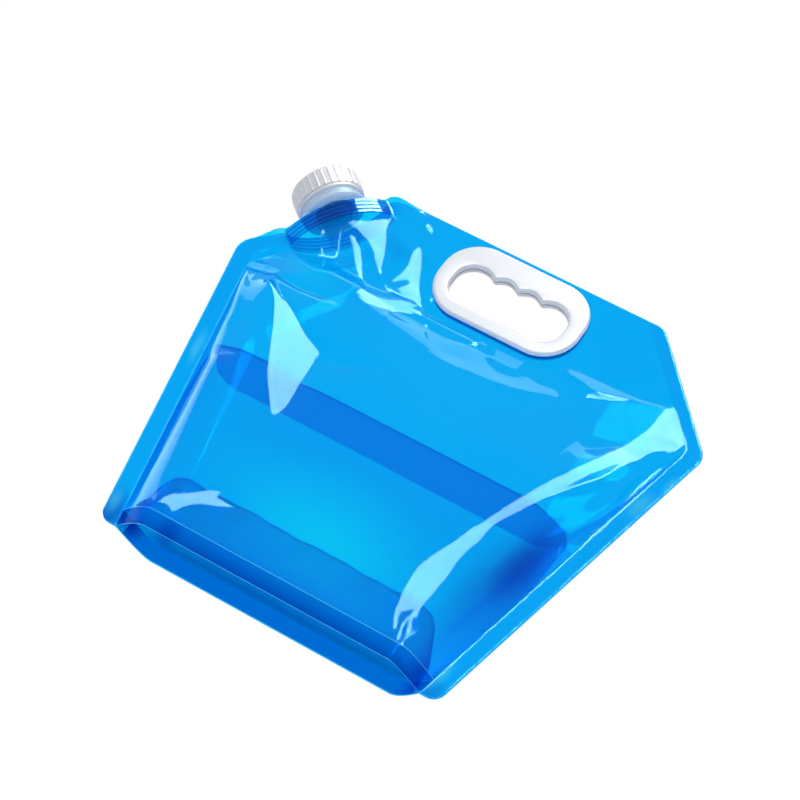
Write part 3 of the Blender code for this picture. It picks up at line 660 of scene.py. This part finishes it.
def film_material(name, near, far, haze, haze_colour, ior=1.2, rough=0.012, deep=(), pale=(), knurl_and_glints=()):
    """Clear tinted film: what is behind it shows through its tint, deeper where it is seen edgeways.
    deep holds patches of painted shade, a deeper tint, pale patches of painted light, a paler tint, and the knurl
    patches a real fine knurl, painted paler and whiter there as painted glints."""
    material, tree = tree_of(name)
    near, far, haze_colour = (*near, 1), (*far, 1), (*haze_colour, 1)
    place = node(tree, "ShaderNodeTexCoord").outputs["Object"]
    facing = node(tree, "ShaderNodeLayerWeight", Blend=0.5).outputs["Facing"]
    tint = mix_colour(tree, calc(tree, "POWER", facing, 3.0), near, far)
    tint = mix_colour(tree, calc(tree, "MULTIPLY", noise(tree, place, 7.0, 2.0), 0.1), tint, far)
    # Painted shade: a deeper tint in the deep patches
    if deep:
        painted_shade_tint = (near[0] * 0.4, near[1] * 0.4, near[2] * 0.72, 1)
        tint = mix_colour(tree, spot_sum(tree, place, deep), tint, painted_shade_tint)
    # Painted light: a paler tint in the pale patches
    if pale:
        tint = mix_colour(tree, spot_sum(tree, place, pale), tint, (near[0], 1.0, 1.0, 1))
    # The knurl, paler in its patches: a real knurl with painted glints
    if knurl_and_glints:
        tilted = node(tree, "ShaderNodeMapping", Vector=place, Rotation=(0, math.radians(40), 0))
        knurl = node(
            tree, "ShaderNodeTexChecker", Vector=tilted, Scale=1100.0, Color1=(1, 1, 1, 1), Color2=(0.3, 0.3, 0.3, 1))
        amount = calc(tree, "MULTIPLY", spot_sum(tree, place, knurl_and_glints), knurl.outputs["Fac"])
        tint = mix_colour(tree, amount, tint, (0.5, 0.97, 1.0, 1))
    body = node(tree, "ShaderNodeBsdfDiffuse", Color=haze_colour)
    milk = mix_shader(tree, 0.5, body, node(tree, "ShaderNodeBsdfTranslucent", Color=haze_colour))
    through = mix_shader(tree, haze, node(tree, "ShaderNodeBsdfTransparent", Color=tint), milk)
    # More painted glints: a whiter diffuse mix where the knurl shows
    if knurl_and_glints:
        white = node(tree, "ShaderNodeBsdfDiffuse", Color=(0.5, 0.95, 1.0, 1))
        through = mix_shader(tree, calc(tree, "MULTIPLY", amount, 0.2), through, white)
    bump = node(tree, "ShaderNodeBump", Height=noise(tree, place, 420.0, 2.0), Strength=0.01, Distance=0.0001)
    gloss = node(tree, "ShaderNodeBsdfGlossy", Color=(0.45, 0.86, 1, 1), Roughness=rough, Normal=bump)
    fresnel = node(tree, "ShaderNodeFresnel", IOR=ior)
    facing_out = calc(tree, "SUBTRACT", 1.0, node(tree, "ShaderNodeNewGeometry").outputs["Backfacing"])
    surface = mix_shader(tree, calc(tree, "MULTIPLY", fresnel, facing_out), through, gloss)
    node(tree, "ShaderNodeOutputMaterial", Surface=surface)
    return material


def plastic_material(name, colour, deep, rough, specular, scatter, grain=900.0, bump_strength=0.1):
    """Moulded plastic: slight mottling, fine grain, and a little light let through."""
    material, tree = tree_of(name)
    place = node(tree, "ShaderNodeTexCoord").outputs["Object"]
    cloud = noise(tree, place, 60.0, 3.0)
    shader = node(
        tree, "ShaderNodeBsdfPrincipled", Specular_IOR_Level=specular, Subsurface_Weight=scatter,
        Subsurface_Radius=(1.0, 1.0, 1.0), Subsurface_Scale=0.003,
        Base_Color=mix_colour(tree, calc(tree, "MULTIPLY", cloud, 0.9), (*colour, 1), (*deep, 1)),
        Roughness=calc(tree, "ADD", calc(tree, "MULTIPLY", cloud, 0.12), rough - 0.06),
        Normal=node(
            tree, "ShaderNodeBump", Height=noise(tree, place, grain, 2.0), Strength=bump_strength, Distance=0.0002))
    node(tree, "ShaderNodeOutputMaterial", Surface=shader)
    return material


# Patches of another tint, painted shade and painted light. Painted shade at the water's right end, on the film and on
# the water
WATER_END_SHADE = (((116, -18, 99), (15, 30, 42), 0.62, 12), ((114, -18, 78), (28, 30, 76), 0.42, 12))
# Painted shade on the film: the water's right end, and a patch high up on the left
FILM_SHADE = WATER_END_SHADE + (((-88, 0, 258), (40, 10, 12), 0.15),)
# Painted shade in the corners of the base, on the welds
CORNER_SHADE = (((-115, -5, 6), (16, 12, 26), 0.6, -12), ((108, -5, 4), (16, 12, 16), 0.3, 12))
# Painted light: the film paler low in the middle and at two places on the left
PAINTED_LIGHT = (((4, -5, 56), (104, 60, 50), 0.9), ((-150, 0, 150), (30, 30, 60), 0.2), ((-110, 0, 212), (30, 30, 24), 0.3))
# A real fine knurl on the welds, shown paler and whiter only in these patches, as painted glints
KNURL_AND_GLINTS = (
    ((-140, -3, 132), (5, 9, 20), 1.0, -12), ((-117.5, -3, 14), (6, 12, 13), 1.0, -12),
    ((147.5, -3, 174.5), (7, 12, 15), 1.0, 12), ((109, -3, 16), (6, 12, 16), 1.0, 12),
    ((-146, -3, 232), (8, 9, 6), 0.6), ((156, -3, 196), (5, 12, 9), 0.8, 12),
)
# Painted shade in the pocket behind the base fold and at its ends
POCKET_SHADE = (
    ((0, 20, 13), (500, 16, 17), 0.85), ((-106, 8, 10), (14, 30, 18), 0.8), ((96, 4, 12), (14, 22, 12), 0.4),
    ((-84, 12, 20), (10, 12, 12), 0.5),
)
BLUE, NAVY = (0.0, 0.42, 0.95), (0.0, 0.3, 0.8)
film = film_material("film_blue", (0.05, 0.835, 0.987), (0.0, 0.45, 0.9), 0.04, BLUE, deep=FILM_SHADE, pale=PAINTED_LIGHT)
film_weld = film_material(
    "film_weld", (0.05, 0.815, 0.985), (0.0, 0.5, 0.9), 0.05, (0.0, 0.46, 0.95), rough=0.04, deep=CORNER_SHADE, knurl_and_glints=KNURL_AND_GLINTS)
# Painted highlight: a paler, hazier film for the cut edges, the films' rims and the skirt's seam line
film_edge_highlight = film_material("film_edge_highlight", (0.2, 0.85, 1.0), (0.1, 0.6, 1.0), 0.4, (0.25, 0.75, 1.0), rough=0.2)
# Painted shade: a deeper copy of the film, for the skirt band, the back leg of the base fold, and the boat weld's
# grooves and rims
film_painted_shade = film_material("film_painted_shade", (0.02, 0.66, 0.92), (0.0, 0.35, 0.8), 0.05, NAVY, ior=1.05, deep=POCKET_SHADE[1:])
film_fold = film_material("film_fold", (0.06, 0.985, 0.975), (0.0, 0.4, 0.8), 0.04, BLUE, deep=POCKET_SHADE)
film_boat = film_material("film_boat", (0.05, 0.76, 0.95), (0.0, 0.55, 0.9), 0.05, BLUE, ior=1.3)
water_side = film_material("water_blue", (0.4, 0.955, 0.99), (0.1, 0.40, 0.86), 0.0, NAVY, ior=1.05, deep=WATER_END_SHADE)
# Painted shade: darker tints for the water's surface and its strip along the front film
water_top_shade = film_material("water_surface", (0.1, 0.53, 0.87), (0.1, 0.5, 0.84), 0.0, NAVY, ior=1.02)
water_rim_shade = film_material("water_rim_shade", (0.05, 0.4, 0.78), (0.05, 0.4, 0.78), 0.0, NAVY, ior=1.02)
boat_clear = film_material(
    "boat_plastic", (0.96, 0.99, 1.0), (0.85, 0.93, 0.98), 0.03, (0.6, 0.8, 0.95), ior=1.08, rough=0.2)
throat_clear = film_material(
    "throat_plastic", (0.8, 0.92, 0.98), (0.7, 0.86, 0.96), 0.03, (0.5, 0.75, 0.95), ior=1.05, rough=0.25)
spout_clear = film_material(
    "spout_plastic", (0.97, 0.98, 1.0), (0.9, 0.95, 0.98), 0.88, (0.93, 0.96, 0.99), ior=1.2, rough=0.3)
cap_white = plastic_material("cap_plastic", (0.80, 0.80, 0.82), (0.74, 0.74, 0.77), 0.38, 0.3, 0.15)
handle_white = plastic_material("handle_plastic", (0.80, 0.82, 0.86), (0.76, 0.78, 0.83), 0.42, 0.3, 0.1)
foam_white = plastic_material("liner_foam", (0.78, 0.78, 0.78), (0.7, 0.7, 0.7), 0.8, 0.1, 0.0, 1500.0, 0.5)

# -------- film walls
HANDLE_X, HANDLE_Z = 6.0, HEIGHT - 3.6 - 28.5
# Half width, foot, crest and corner radius of the handle's hand hole, and the room that the film leaves round it
HOLE_REACH, HOLE_FOOT, HOLE_CREST, HOLE_RADIUS, HOLE_ROOM = 39.5, -18.8, 11.7, 13.0, 3.5


def row_heights():
    """Heights of the film's rows of points, closer at the round corners and at the skirt."""
    arc = [9 * (1 - math.cos(t)) for t in np.linspace(0, 1.1, 9)]
    low = list(np.arange(5.0, 205, 1.25))
    high = list(np.arange(205, 289, 1.1))
    cap = [HEIGHT - 12 * (1 - math.cos(t)) for t in np.linspace(0.85, 0, 10)]
    heights = sorted({round(v, 3) for v in arc + [0.5, 11.75, 12.25] + low + high + cap})
    kept = [heights[0]]
    for value in heights[1:]:
        if value - kept[-1] > 0.04:
            kept.append(value)
    kept[-1] = HEIGHT
    return np.array(kept)


def film_columns(z):
    """Places across of one row's points: eight in each side weld, the rest between, bunched at the folds."""
    inner_left, inner_right = weld_inner(z)
    left, right = look(fine_left, z), look(fine_right, z)
    band = np.linspace(0, 1, 9)[:-1]
    share = np.linspace(0, 1, 251)
    share = share - 0.3 * np.sin(math.tau * share) / math.tau
    inner_left = np.maximum(inner_left, left + 0.5)
    inner_right = np.minimum(inner_right, right - 0.5)
    return np.concatenate([left + (inner_left - left) * band, inner_left + (inner_right - inner_left) * share,
                           right + (inner_right - right) * band[::-1]])


def film_wall(name, side):
    heights = row_heights()
    xs = np.array([film_columns(z) for z in heights])
    zs = np.repeat(heights[:, None], xs.shape[1], 1)
    along, out = spout_place(xs, zs)
    # The film's edge lies lower over the boat
    drop = 2.7 * np.clip((out + 9) / 9, 0, 1) * np.clip((TAB_OUT - 4 - np.abs(along)) / 6, 0, 1)
    xs, zs = xs - OUT[0] * drop, zs - OUT[1] * drop
    depth = film_depth(xs, zs, side) + GAP
    grid = np.stack([xs, side * depth, zs], -1)
    offset = np.stack([xs, side * (depth + FILM), zs], -1)
    middle_x = (xs[:-1, :-1] + xs[1:, 1:]) / 2
    middle_z = (zs[:-1, :-1] + zs[1:, 1:]) / 2
    dx = np.abs(middle_x - HANDLE_X) - (HOLE_REACH - HOLE_RADIUS)
    dz = np.abs(middle_z - HANDLE_Z - (HOLE_FOOT + HOLE_CREST) / 2) - ((HOLE_CREST - HOLE_FOOT) / 2 - HOLE_RADIUS)
    hole = np.hypot(np.maximum(dx, 0), np.maximum(dz, 0)) < HOLE_RADIUS + HOLE_ROOM

    def kind(places):
        left, right = weld_inner(places[:, 2])
        kinds = np.where((places[:, 0] < left - 0.6) | (places[:, 0] > right + 0.6), 2, 0)
        inside = (places[:, 0] > left) & (places[:, 0] < right)
        # Painted shade: the deeper film on the skirt band
        kinds[inside & (places[:, 2] < SKIRT)] = 3
        # Painted highlight along the skirt's seam and on the cut edge
        kinds[inside & (np.abs(places[:, 2] - SKIRT) < 0.3)] = 1
        kinds[places[:, 2] < 0.5] = 1
        return kinds

    return closed_sheet(name, grid, offset, [film, film_edge_highlight, film_weld, film_painted_shade], ~hole, kind)


front = film_wall("film_front", -1)
back = film_wall("film_back", 1)
for piece, node_name in ((front, "front_panel"), (back, "back_panel")):
    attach(piece, "bag")
    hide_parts(node_name)

# -------- base fold
crest_table = ((-1, 0.2), (-0.97, 0.72), (-0.93, 0.93), (-0.86, 1), (0.76, 1), (0.84, 0.93), (0.9, 0.75), (1, 0.2))
slope_table = ((0, 0), (0.2, 0.24), (0.48, 0.56), (0.84, 0.9), (0.96, 1.0), (1, 1.0))
FOLD_LOW, FOLD_HIGH, FOLD_TOP, FOLD_CREST = -102.4, 100.3, 11.4, 38
LEG_STEPS, SLOPE_STEPS = 5, 22


def fold_half(x, lift=0.0):
    """Front half of the base fold at one place across: up the skirt, then up one slope to the crest."""
    middle, reach = (FOLD_LOW + FOLD_HIGH) / 2, (FOLD_HIGH - FOLD_LOW) / 2
    crest = FOLD_CREST * look(crest_table, (x - middle) / reach)
    crest += 0.5 * math.sin(x * 0.11)
    crest += 0.3 * math.sin(x * 0.29 + 1)
    y = float(plain_depth(np.array([x]), np.array([0.0]))[0]) + GAP - 0.4
    leg = [(-y, 0.6 + (FOLD_TOP - 0.6) * t) for t in np.linspace(0, 1, LEG_STEPS + 1)[:-1]]
    slope = []
    for t in np.linspace(0, 1, SLOPE_STEPS):
        rise = look(slope_table, t)
        crumple = (0.5 * math.sin(x * 0.067 + t * 4) + 0.25 * math.sin(x * 0.15 - t * 3)) * math.sin(math.pi * t)
        slope.append((-y * (1 - t) + crumple * (1 - t), FOLD_TOP + crest * rise + lift))
    return leg, slope


def base_fold():
    rows = []
    for x in np.linspace(FOLD_LOW, FOLD_HIGH, 160):
        leg, slope = fold_half(x)
        half = leg + slope
        rows.append([(x, a, b) for a, b in half] + [(x, -a, b) for a, b in reversed(half[:-1])])
    grid = np.array(rows)
    offset = grid.copy()
    offset[..., 2] -= FILM
    offset[:, :LEG_STEPS, 2] += FILM
    offset[:, -LEG_STEPS:, 2] += FILM
    offset[:, :LEG_STEPS + 1, 1] += FILM
    offset[:, -LEG_STEPS - 1:, 1] -= FILM

    def kind(places):
        # Painted shade on the back leg of the fold, inside the base
        return np.where((places[:, 1] > 0) & (places[:, 2] < FOLD_TOP), 2, 0)

    return closed_sheet("base_fold_film", grid, offset, [film_fold, film_edge_highlight, film_painted_shade], None, kind)


fold = base_fold()
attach(fold, "base")
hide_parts("bottom_gusset")


# -------- water
def water_body():
    """The water between the films, over the base fold, in slices across the bag."""
    walls, foot_rest, room = 84, SKIRT + 1.2, 0.35
    heights = np.linspace(foot_rest, LEVEL, 60)
    left, right = weld_inner(heights)
    loops = []
    for x in np.linspace(-125.5, 123.6, 180):
        wet = heights[(left < x) & (right > x)]
        foot = max(foot_rest, float(wet[0])) if len(wet) else LEVEL - 1
        zs = np.linspace(foot, LEVEL, walls)
        column = np.full(walls, x)
        front_y = np.maximum(film_depth(column, zs, -1) - room, 0.05)
        back_y = np.maximum(film_depth(column, zs, 1) - room, 0.05)
        if FOLD_LOW < x < FOLD_HIGH:
            under = [(a, max(b, foot)) for a, b in fold_half(x, 0.6)[1]]
        else:
            under = [(-front_y[0] * (1 - t), foot) for t in np.linspace(0, 1, SLOPE_STEPS)]
        loop = [(x, -y, z) for y, z in zip(front_y, zs)]
        loop += [(x, -front_y[-1] * (1 - t), LEVEL) for t in (0.12, 0.5, 1.0)]
        loop += [(x, back_y[-1] * t, LEVEL) for t in (0.5, 0.88)]
        loop += [(x, y, z) for y, z in zip(back_y[::-1], zs[::-1])]
        edge = max(-under[0][0], 0.05)
        loop += [(x, -a * back_y[0] / edge, b) for a, b in under[1:-1]]
        loop += [(x, a * front_y[0] / edge, b) for a, b in reversed(under[1:])]
        loops.append(loop)
    # Painted shade: the surface takes a darker tint, and a darker strip along the front film, for the dark band at the
    # waterline
    surface = {walls - 1: 2, **dict.fromkeys(range(walls, walls + 5), 1)}
    return closed_loft("water_body", loops, [water_side, water_top_shade, water_rim_shade], lambda i: surface.get(i, 0))


water = water_body()
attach(water, "bag")
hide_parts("water")


# -------- spout
def thread_turns():
    """Two turns of thread round the neck, running out at both ends."""
    turns, steps = 2, 72
    points = []
    for k in range(turns * steps + 1):
        turn = math.tau * k / steps
        height = 11.0 + 4.0 * k / steps * 0.9
        crest = 0.95 * min(1, k / 8, (turns * steps - k) / 8)
        for dr, dh in ((-0.3, 0.75), (crest, 0.3), (crest, -0.25), (-0.3, -0.75)):
            r = 17.2 + dr
            points.append(on_spout((r * math.cos(turn), r * math.sin(turn), height + dh)))
    faces = tube_faces(turns * steps + 1, 4) + [(0, 1, 2, 3), tuple(len(points) - 1 - i for i in range(4))]
    return outward(new_piece("thread", points, faces, [spout_clear]))


def ribbed_boat():
    """The part that the films are welded to: eye-shaped, with four ribs round it."""
    heights = [(BOAT_FOOT, -0.2), (BOAT_FOOT + 0.2, 0)]
    for i in range(4):
        start = BOAT_FOOT + 0.9 + RIB_PITCH * i
        for step, grow in ((-0.15, 0), (0, 0.35), (0.2, 0.5), (1.0, 0.5), (1.2, 0.35), (1.35, 0)):
            heights.append((start + step, grow))
    heights += [(-BOAT_DROP - 0.2, 0), (-BOAT_DROP, -0.2)]
    loops = []
    for height, grow in heights:
        near = [(p * (BOAT_REACH + grow) / BOAT_REACH, -float(boat_depth(p)) - grow, height)
                for p in np.linspace(-BOAT_REACH, BOAT_REACH, 61)]
        loops.append([on_spout(p) for p in near] + [on_spout((a, -b, c)) for a, b, c in reversed(near)])
    return closed_loft("boat", loops, [boat_clear])


def spout_body():
    neck = turned("neck", [
        (15.9, 19.6), (17.0, 19.6), (17.2, 19.4), (17.2, 10.0), (17.7, 9.8), (18.4, 9.5), (18.2, 9.1), (17.2, 9.0),
        (17.2, 6.7), (17.3, 6.45), (19.6, 6.4), (20.0, 6.0), (20.0, 2.6), (20.5, 2.4), (20.8, 2.2), (20.8, 1.1),
        (20.5, 0.8), (13.2, 0.8), (12.8, 1.2), (12.8, 3.0), (15.9, 6.4),
    ], spout_clear, 112)
    throat = turned("throat", [
        (12.6, 2.8), (12.9, 0.4), (13.0, -8.9), (10.5, -9.2), (10.5, -20.6), (10.2, -21.0), (9.2, -21.0), (9.2, -2.2),
    ], throat_clear, 112)
    parts = [neck, throat, thread_turns(), ribbed_boat()]
    middle = BOAT_FOOT + BOAT_HEIGHT / 2
    for side in (-1, 1):
        parts.append(rounded_box((side * (TAB_OUT - 2.8), 0, middle), (5.6, 2.6, 10.0), 0.6))
    parts.append(rounded_box((0, 0, middle), (2 * TAB_OUT - 5.0, 1.4, 8.8), 0.3))
    return joined("spout_body", parts)


def rounded_box(centre, size, radius):
    mesh = bpy.data.meshes.new("box")
    with edited(mesh) as shell:
        bmesh.ops.create_cube(shell, size=1, matrix=Matrix.Diagonal((*size, 1)))
        bmesh.ops.bevel(shell, geom=shell.edges, offset=radius, segments=3, affect="EDGES", profile=0.5)
        for vertex in shell.verts:
            place = on_spout([vertex.co[i] + centre[i] for i in range(3)])
            vertex.co = [v * MM for v in place]
        for face in shell.faces:
            face.smooth = True
    return outward(add_object("box", mesh, [boat_clear]))


spout = sharpen(spout_body())
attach(spout, "bag")
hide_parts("spout")


def weld_patch(name, side):
    """The ribbed weld of the film over one face of the boat."""
    heights, places = np.meshgrid(np.linspace(BOAT_FOOT, -BOAT_DROP, 84),
                                  np.linspace(-BOAT_REACH - 1.0, BOAT_REACH + 1.0, 90), indexing="ij")
    phase = ((heights - BOAT_FOOT - 1.5) / RIB_PITCH + 0.5) % 1 - 0.5
    rib = np.clip((0.5 - np.abs(phase)) / 0.1, 0, 1) ** 2
    xs = FOOT[0] + ALONG[0] * places + OUT[0] * heights
    zs = FOOT[1] + ALONG[1] * places + OUT[1] * heights
    depth = film_depth(xs, zs, side) + GAP + FILM + 0.05
    inner = np.stack([xs, side * depth, zs], -1)
    outer = np.stack([xs, side * (depth + 0.12 + 0.55 * rib), zs], -1)

    def kind(points):
        """Painted shade in the grooves between the ribs."""
        out = spout_place(points[:, 0], points[:, 2])[1]
        return np.where(np.abs(((out - BOAT_FOOT - 1.5) / RIB_PITCH) % 1 - 0.5) < 0.17, 1, 0)

    return closed_sheet(name, inner, outer, [film_boat if side < 0 else film_fold, film_painted_shade], None, kind)


for name, side in (("boat_weld_front", -1), ("boat_weld_back", 1)):
    patch = weld_patch(name, side)
    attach(patch, "bag")

# -------- closure
ring = turned("lock_ring", [
    (17.5, 6.7), (21.3, 6.7), (21.6, 6.95), (21.6, 8.45), (21.3, 8.7), (17.5, 8.7),
], cap_white, 128)
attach(sharpen(ring), "bag")
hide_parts("snap_ring")


def cap_radius(radius, height, turn):
    """Narrow raised ribs with wide flats, fading at the rounded top edge."""
    if radius < 20.4:
        return radius
    place = (turn / math.tau * 30) % 1
    place = min(place, 1 - place)
    rib = np.clip((0.17 - place) / 0.07, 0, 1)
    fade = np.clip((22.6 - height) / 1.2, 0, 1)
    return radius + (0.45 * rib - 0.22) * fade


def cap_profile():
    outer = [(21.7, 9.0), (22.0, 9.25)] + [(22.0, 9.25 + (21.4 - 9.25) * k / 6) for k in range(1, 6)]
    edge = [(22.0 - 1.6 + 1.6 * math.sin(t), 23.0 - 1.6 + 1.6 * math.cos(t)) for t in np.linspace(math.pi / 2, 0, 9)]
    top = [
        (17.2, 23.0), (16.7, 22.9), (16.4, 22.6), (16.2, 22.5), (9.4, 22.5), (9.1, 22.62), (8.7, 22.62), (8.4, 22.5),
        (0.9, 22.5), (0.6, 22.68), (0.0, 22.7),
    ]
    return outer + edge + top + [(0.0, 21.2), (19.7, 21.2), (19.7, 9.0)]


cap = turned("screw_cap", cap_profile(), cap_white, 360, cap_radius)
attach(sharpen(cap, 50), "cap")
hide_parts("cap")
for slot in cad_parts["cap_liner"].material_slots:
    slot.material = foam_white


# -------- handle
def handle_outline():
    corners = [((x * 50.5, y * 28.5), 25) for x, y in ((-1, -1), (1, -1), (1, 1), (-1, 1))]
    return rounded(corners, 22)


def hole_outline():
    """The hand hole, with four finger grooves in its crest."""
    corners = [((x * HOLE_REACH, z), HOLE_RADIUS)
               for x, z in ((-1, HOLE_FOOT), (1, HOLE_FOOT), (1, HOLE_CREST), (-1, HOLE_CREST))]
    points = rounded(corners, 14)
    grooves = []
    pitch = (HOLE_REACH - HOLE_RADIUS) * 2 * 0.32
    for step in range(-42, 43):
        wave = abs(math.sin(math.pi * step / 28))
        soft = math.sqrt(wave * wave + 0.02) - 0.14 * (1 - wave)
        grooves.append(np.array((-step * pitch / 28, HOLE_CREST - 3.4 * (1 - min(soft, 1)))))
    return points[:45] + grooves + points[45:]


def shifted(points, reach):
    """A loop moved sideways by a reach."""
    moved = []
    for i, point in enumerate(points):
        before, after = point - points[i - 1], points[(i + 1) % len(points)] - point
        before, after = before / np.linalg.norm(before), after / np.linalg.norm(after)
        side = np.array((-(before + after)[1], (before + after)[0]))
        side /= np.linalg.norm(side)
        moved.append(point + side * reach / max(side @ np.array((-before[1], before[0])), 0.5))
    return moved


def handle_half(name, side):
    seat = GAP + 0.7
    outer, hole = handle_outline(), hole_outline()
    profile = [(0.3, 0.0), (0.08, 0.08), (0.0, 0.3)]
    profile += [(1.9 * (1 - math.cos(t)), 1.3 + 1.9 * math.sin(t)) for t in np.linspace(0, math.pi / 2, 9)]
    points, faces = [], []
    for inset, height in profile:
        for loop, sign in ((outer, 1), (hole, -1)):
            for x, z in shifted(loop, sign * inset):
                points.append((x + HANDLE_X, side * (seat + height), z + HANDLE_Z))
    count = len(outer) + len(hole)
    for level in range(len(profile) - 1):
        for first, size in ((0, len(outer)), (len(outer), len(hole))):
            for k in range(size):
                a, b = level * count + first + k, level * count + first + (k + 1) % size
                faces.append((a, b, b + count, a + count))
    for level in (0, len(profile) - 1):
        start = level * count
        rims = [[Vector((points[start + i][0], points[start + i][2], 0)) for i in range(a, b)]
                for a, b in ((0, len(outer)), (len(outer), count))]
        faces += [tuple(start + corner for corner in cap) for cap in tessellate_polygon(rims)]
    return sharpen(outward(new_piece(name, points, faces, [handle_white])), 40)


for name, side, node_name in (("handle_front_grip", -1, "handle_front"), ("handle_back_grip", 1, "handle_back")):
    grip = handle_half(name, side)
    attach(grip, "bag")
    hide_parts(node_name)

# -------- own meshes for the films, the base fold and the water
for piece, keep in ((front, 0.12), (back, 0.12), (fold, 0.11), (water, 0.1)):
    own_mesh(piece)


# -------- floor, light, camera
def floor():
    """A pale floor that isn't seen from below, where the camera is."""
    material, tree = tree_of("floor")
    below = node(tree, "ShaderNodeNewGeometry").outputs["Backfacing"]
    pale = node(tree, "ShaderNodeBsdfDiffuse", Color=(0.9, 0.9, 0.9, 1))
    surface = mix_shader(tree, below, pale, node(tree, "ShaderNodeBsdfTransparent"))
    node(tree, "ShaderNodeOutputMaterial", Surface=surface)
    corners = [(x, y, -0.0006) for x, y in ((-3, -3), (3, -3), (3, 3), (-3, 3))]
    return new_piece("floor", corners, [(0, 1, 2, 3)], [material], scale=1)


floor()

world = bpy.data.worlds.new("studio")
bpy.context.scene.world = world
world.use_nodes = True
tree = world.node_tree
tree.nodes.clear()
paths = node(tree, "ShaderNodeLightPath").outputs
seen = calc(tree, "MAXIMUM", paths["Is Camera Ray"], paths["Is Glossy Ray"])
seen = calc(tree, "MAXIMUM", seen, paths["Is Transmission Ray"])
soft_light = node(tree, "ShaderNodeBackground", Color=(0.95, 0.97, 1, 1), Strength=0.55)
white = node(tree, "ShaderNodeBackground", Color=(1, 1, 1, 1), Strength=1.0)
node(tree, "ShaderNodeOutputWorld", Surface=mix_shader(tree, seen, soft_light, white))

AIM = Vector((0, 0, 0.14))


def lamp(name, azimuth, elevation, distance, size, radiance, gloss_only=True):
    """A softbox at a compass angle (0 in front, 90 to the right) and height angle, turned to the bag.
    gloss_only is a lamp that only shows as a reflection."""
    a, e = math.radians(azimuth), math.radians(elevation)
    way = Vector((math.sin(a) * math.cos(e), -math.cos(a) * math.cos(e), math.sin(e)))
    data = bpy.data.lights.new(name, "AREA")
    data.shape = "RECTANGLE"
    data.size, data.size_y = size
    data.energy = radiance * size[0] * size[1] * math.pi
    item = add_object(name, data)
    item.location = AIM + way * distance
    item.rotation_euler = (-way).to_track_quat("-Z", "Y").to_euler()
    item.visible_camera = False
    item.visible_diffuse = not gloss_only
    item.visible_transmission = not gloss_only
    item.visible_glossy = gloss_only


lamp("key", -30, 62, 1.6, (1.0, 1.0), 2.9, False)
lamp("strip_right", 1, 35, 5, (1.9, 10), 55)
lamp("side_left", -95, 26, 5, (3.8, 2.9), 4.5)
lamp("overhead", -54, 70, 5, (1.5, 1.5), 6)

AZ, EL, ROLL = math.radians(21.447), math.radians(-27.806), math.radians(37.613)
back_way = Vector((math.sin(AZ) * math.cos(EL), -math.cos(AZ) * math.cos(EL), math.sin(EL)))
right_way = Vector((math.cos(AZ), math.sin(AZ), 0))
up_way = back_way.cross(right_way)
camera_right = right_way * math.cos(ROLL) + up_way * math.sin(ROLL)
camera_up = up_way * math.cos(ROLL) - right_way * math.sin(ROLL)
camera_data = bpy.data.cameras.new("camera")
camera_data.lens = 135.44
camera_data.sensor_width = 36
camera = add_object("camera", camera_data)
turn = Matrix((camera_right, camera_up, back_way)).transposed().to_4x4()
camera.matrix_world = Matrix.Translation((0.573943, -1.494114, -0.682776)) @ turn
bpy.context.scene.camera = camera
bpy.context.scene.view_settings.view_transform = "Standard"
bpy.context.scene.cycles.transparent_max_bounces = 40
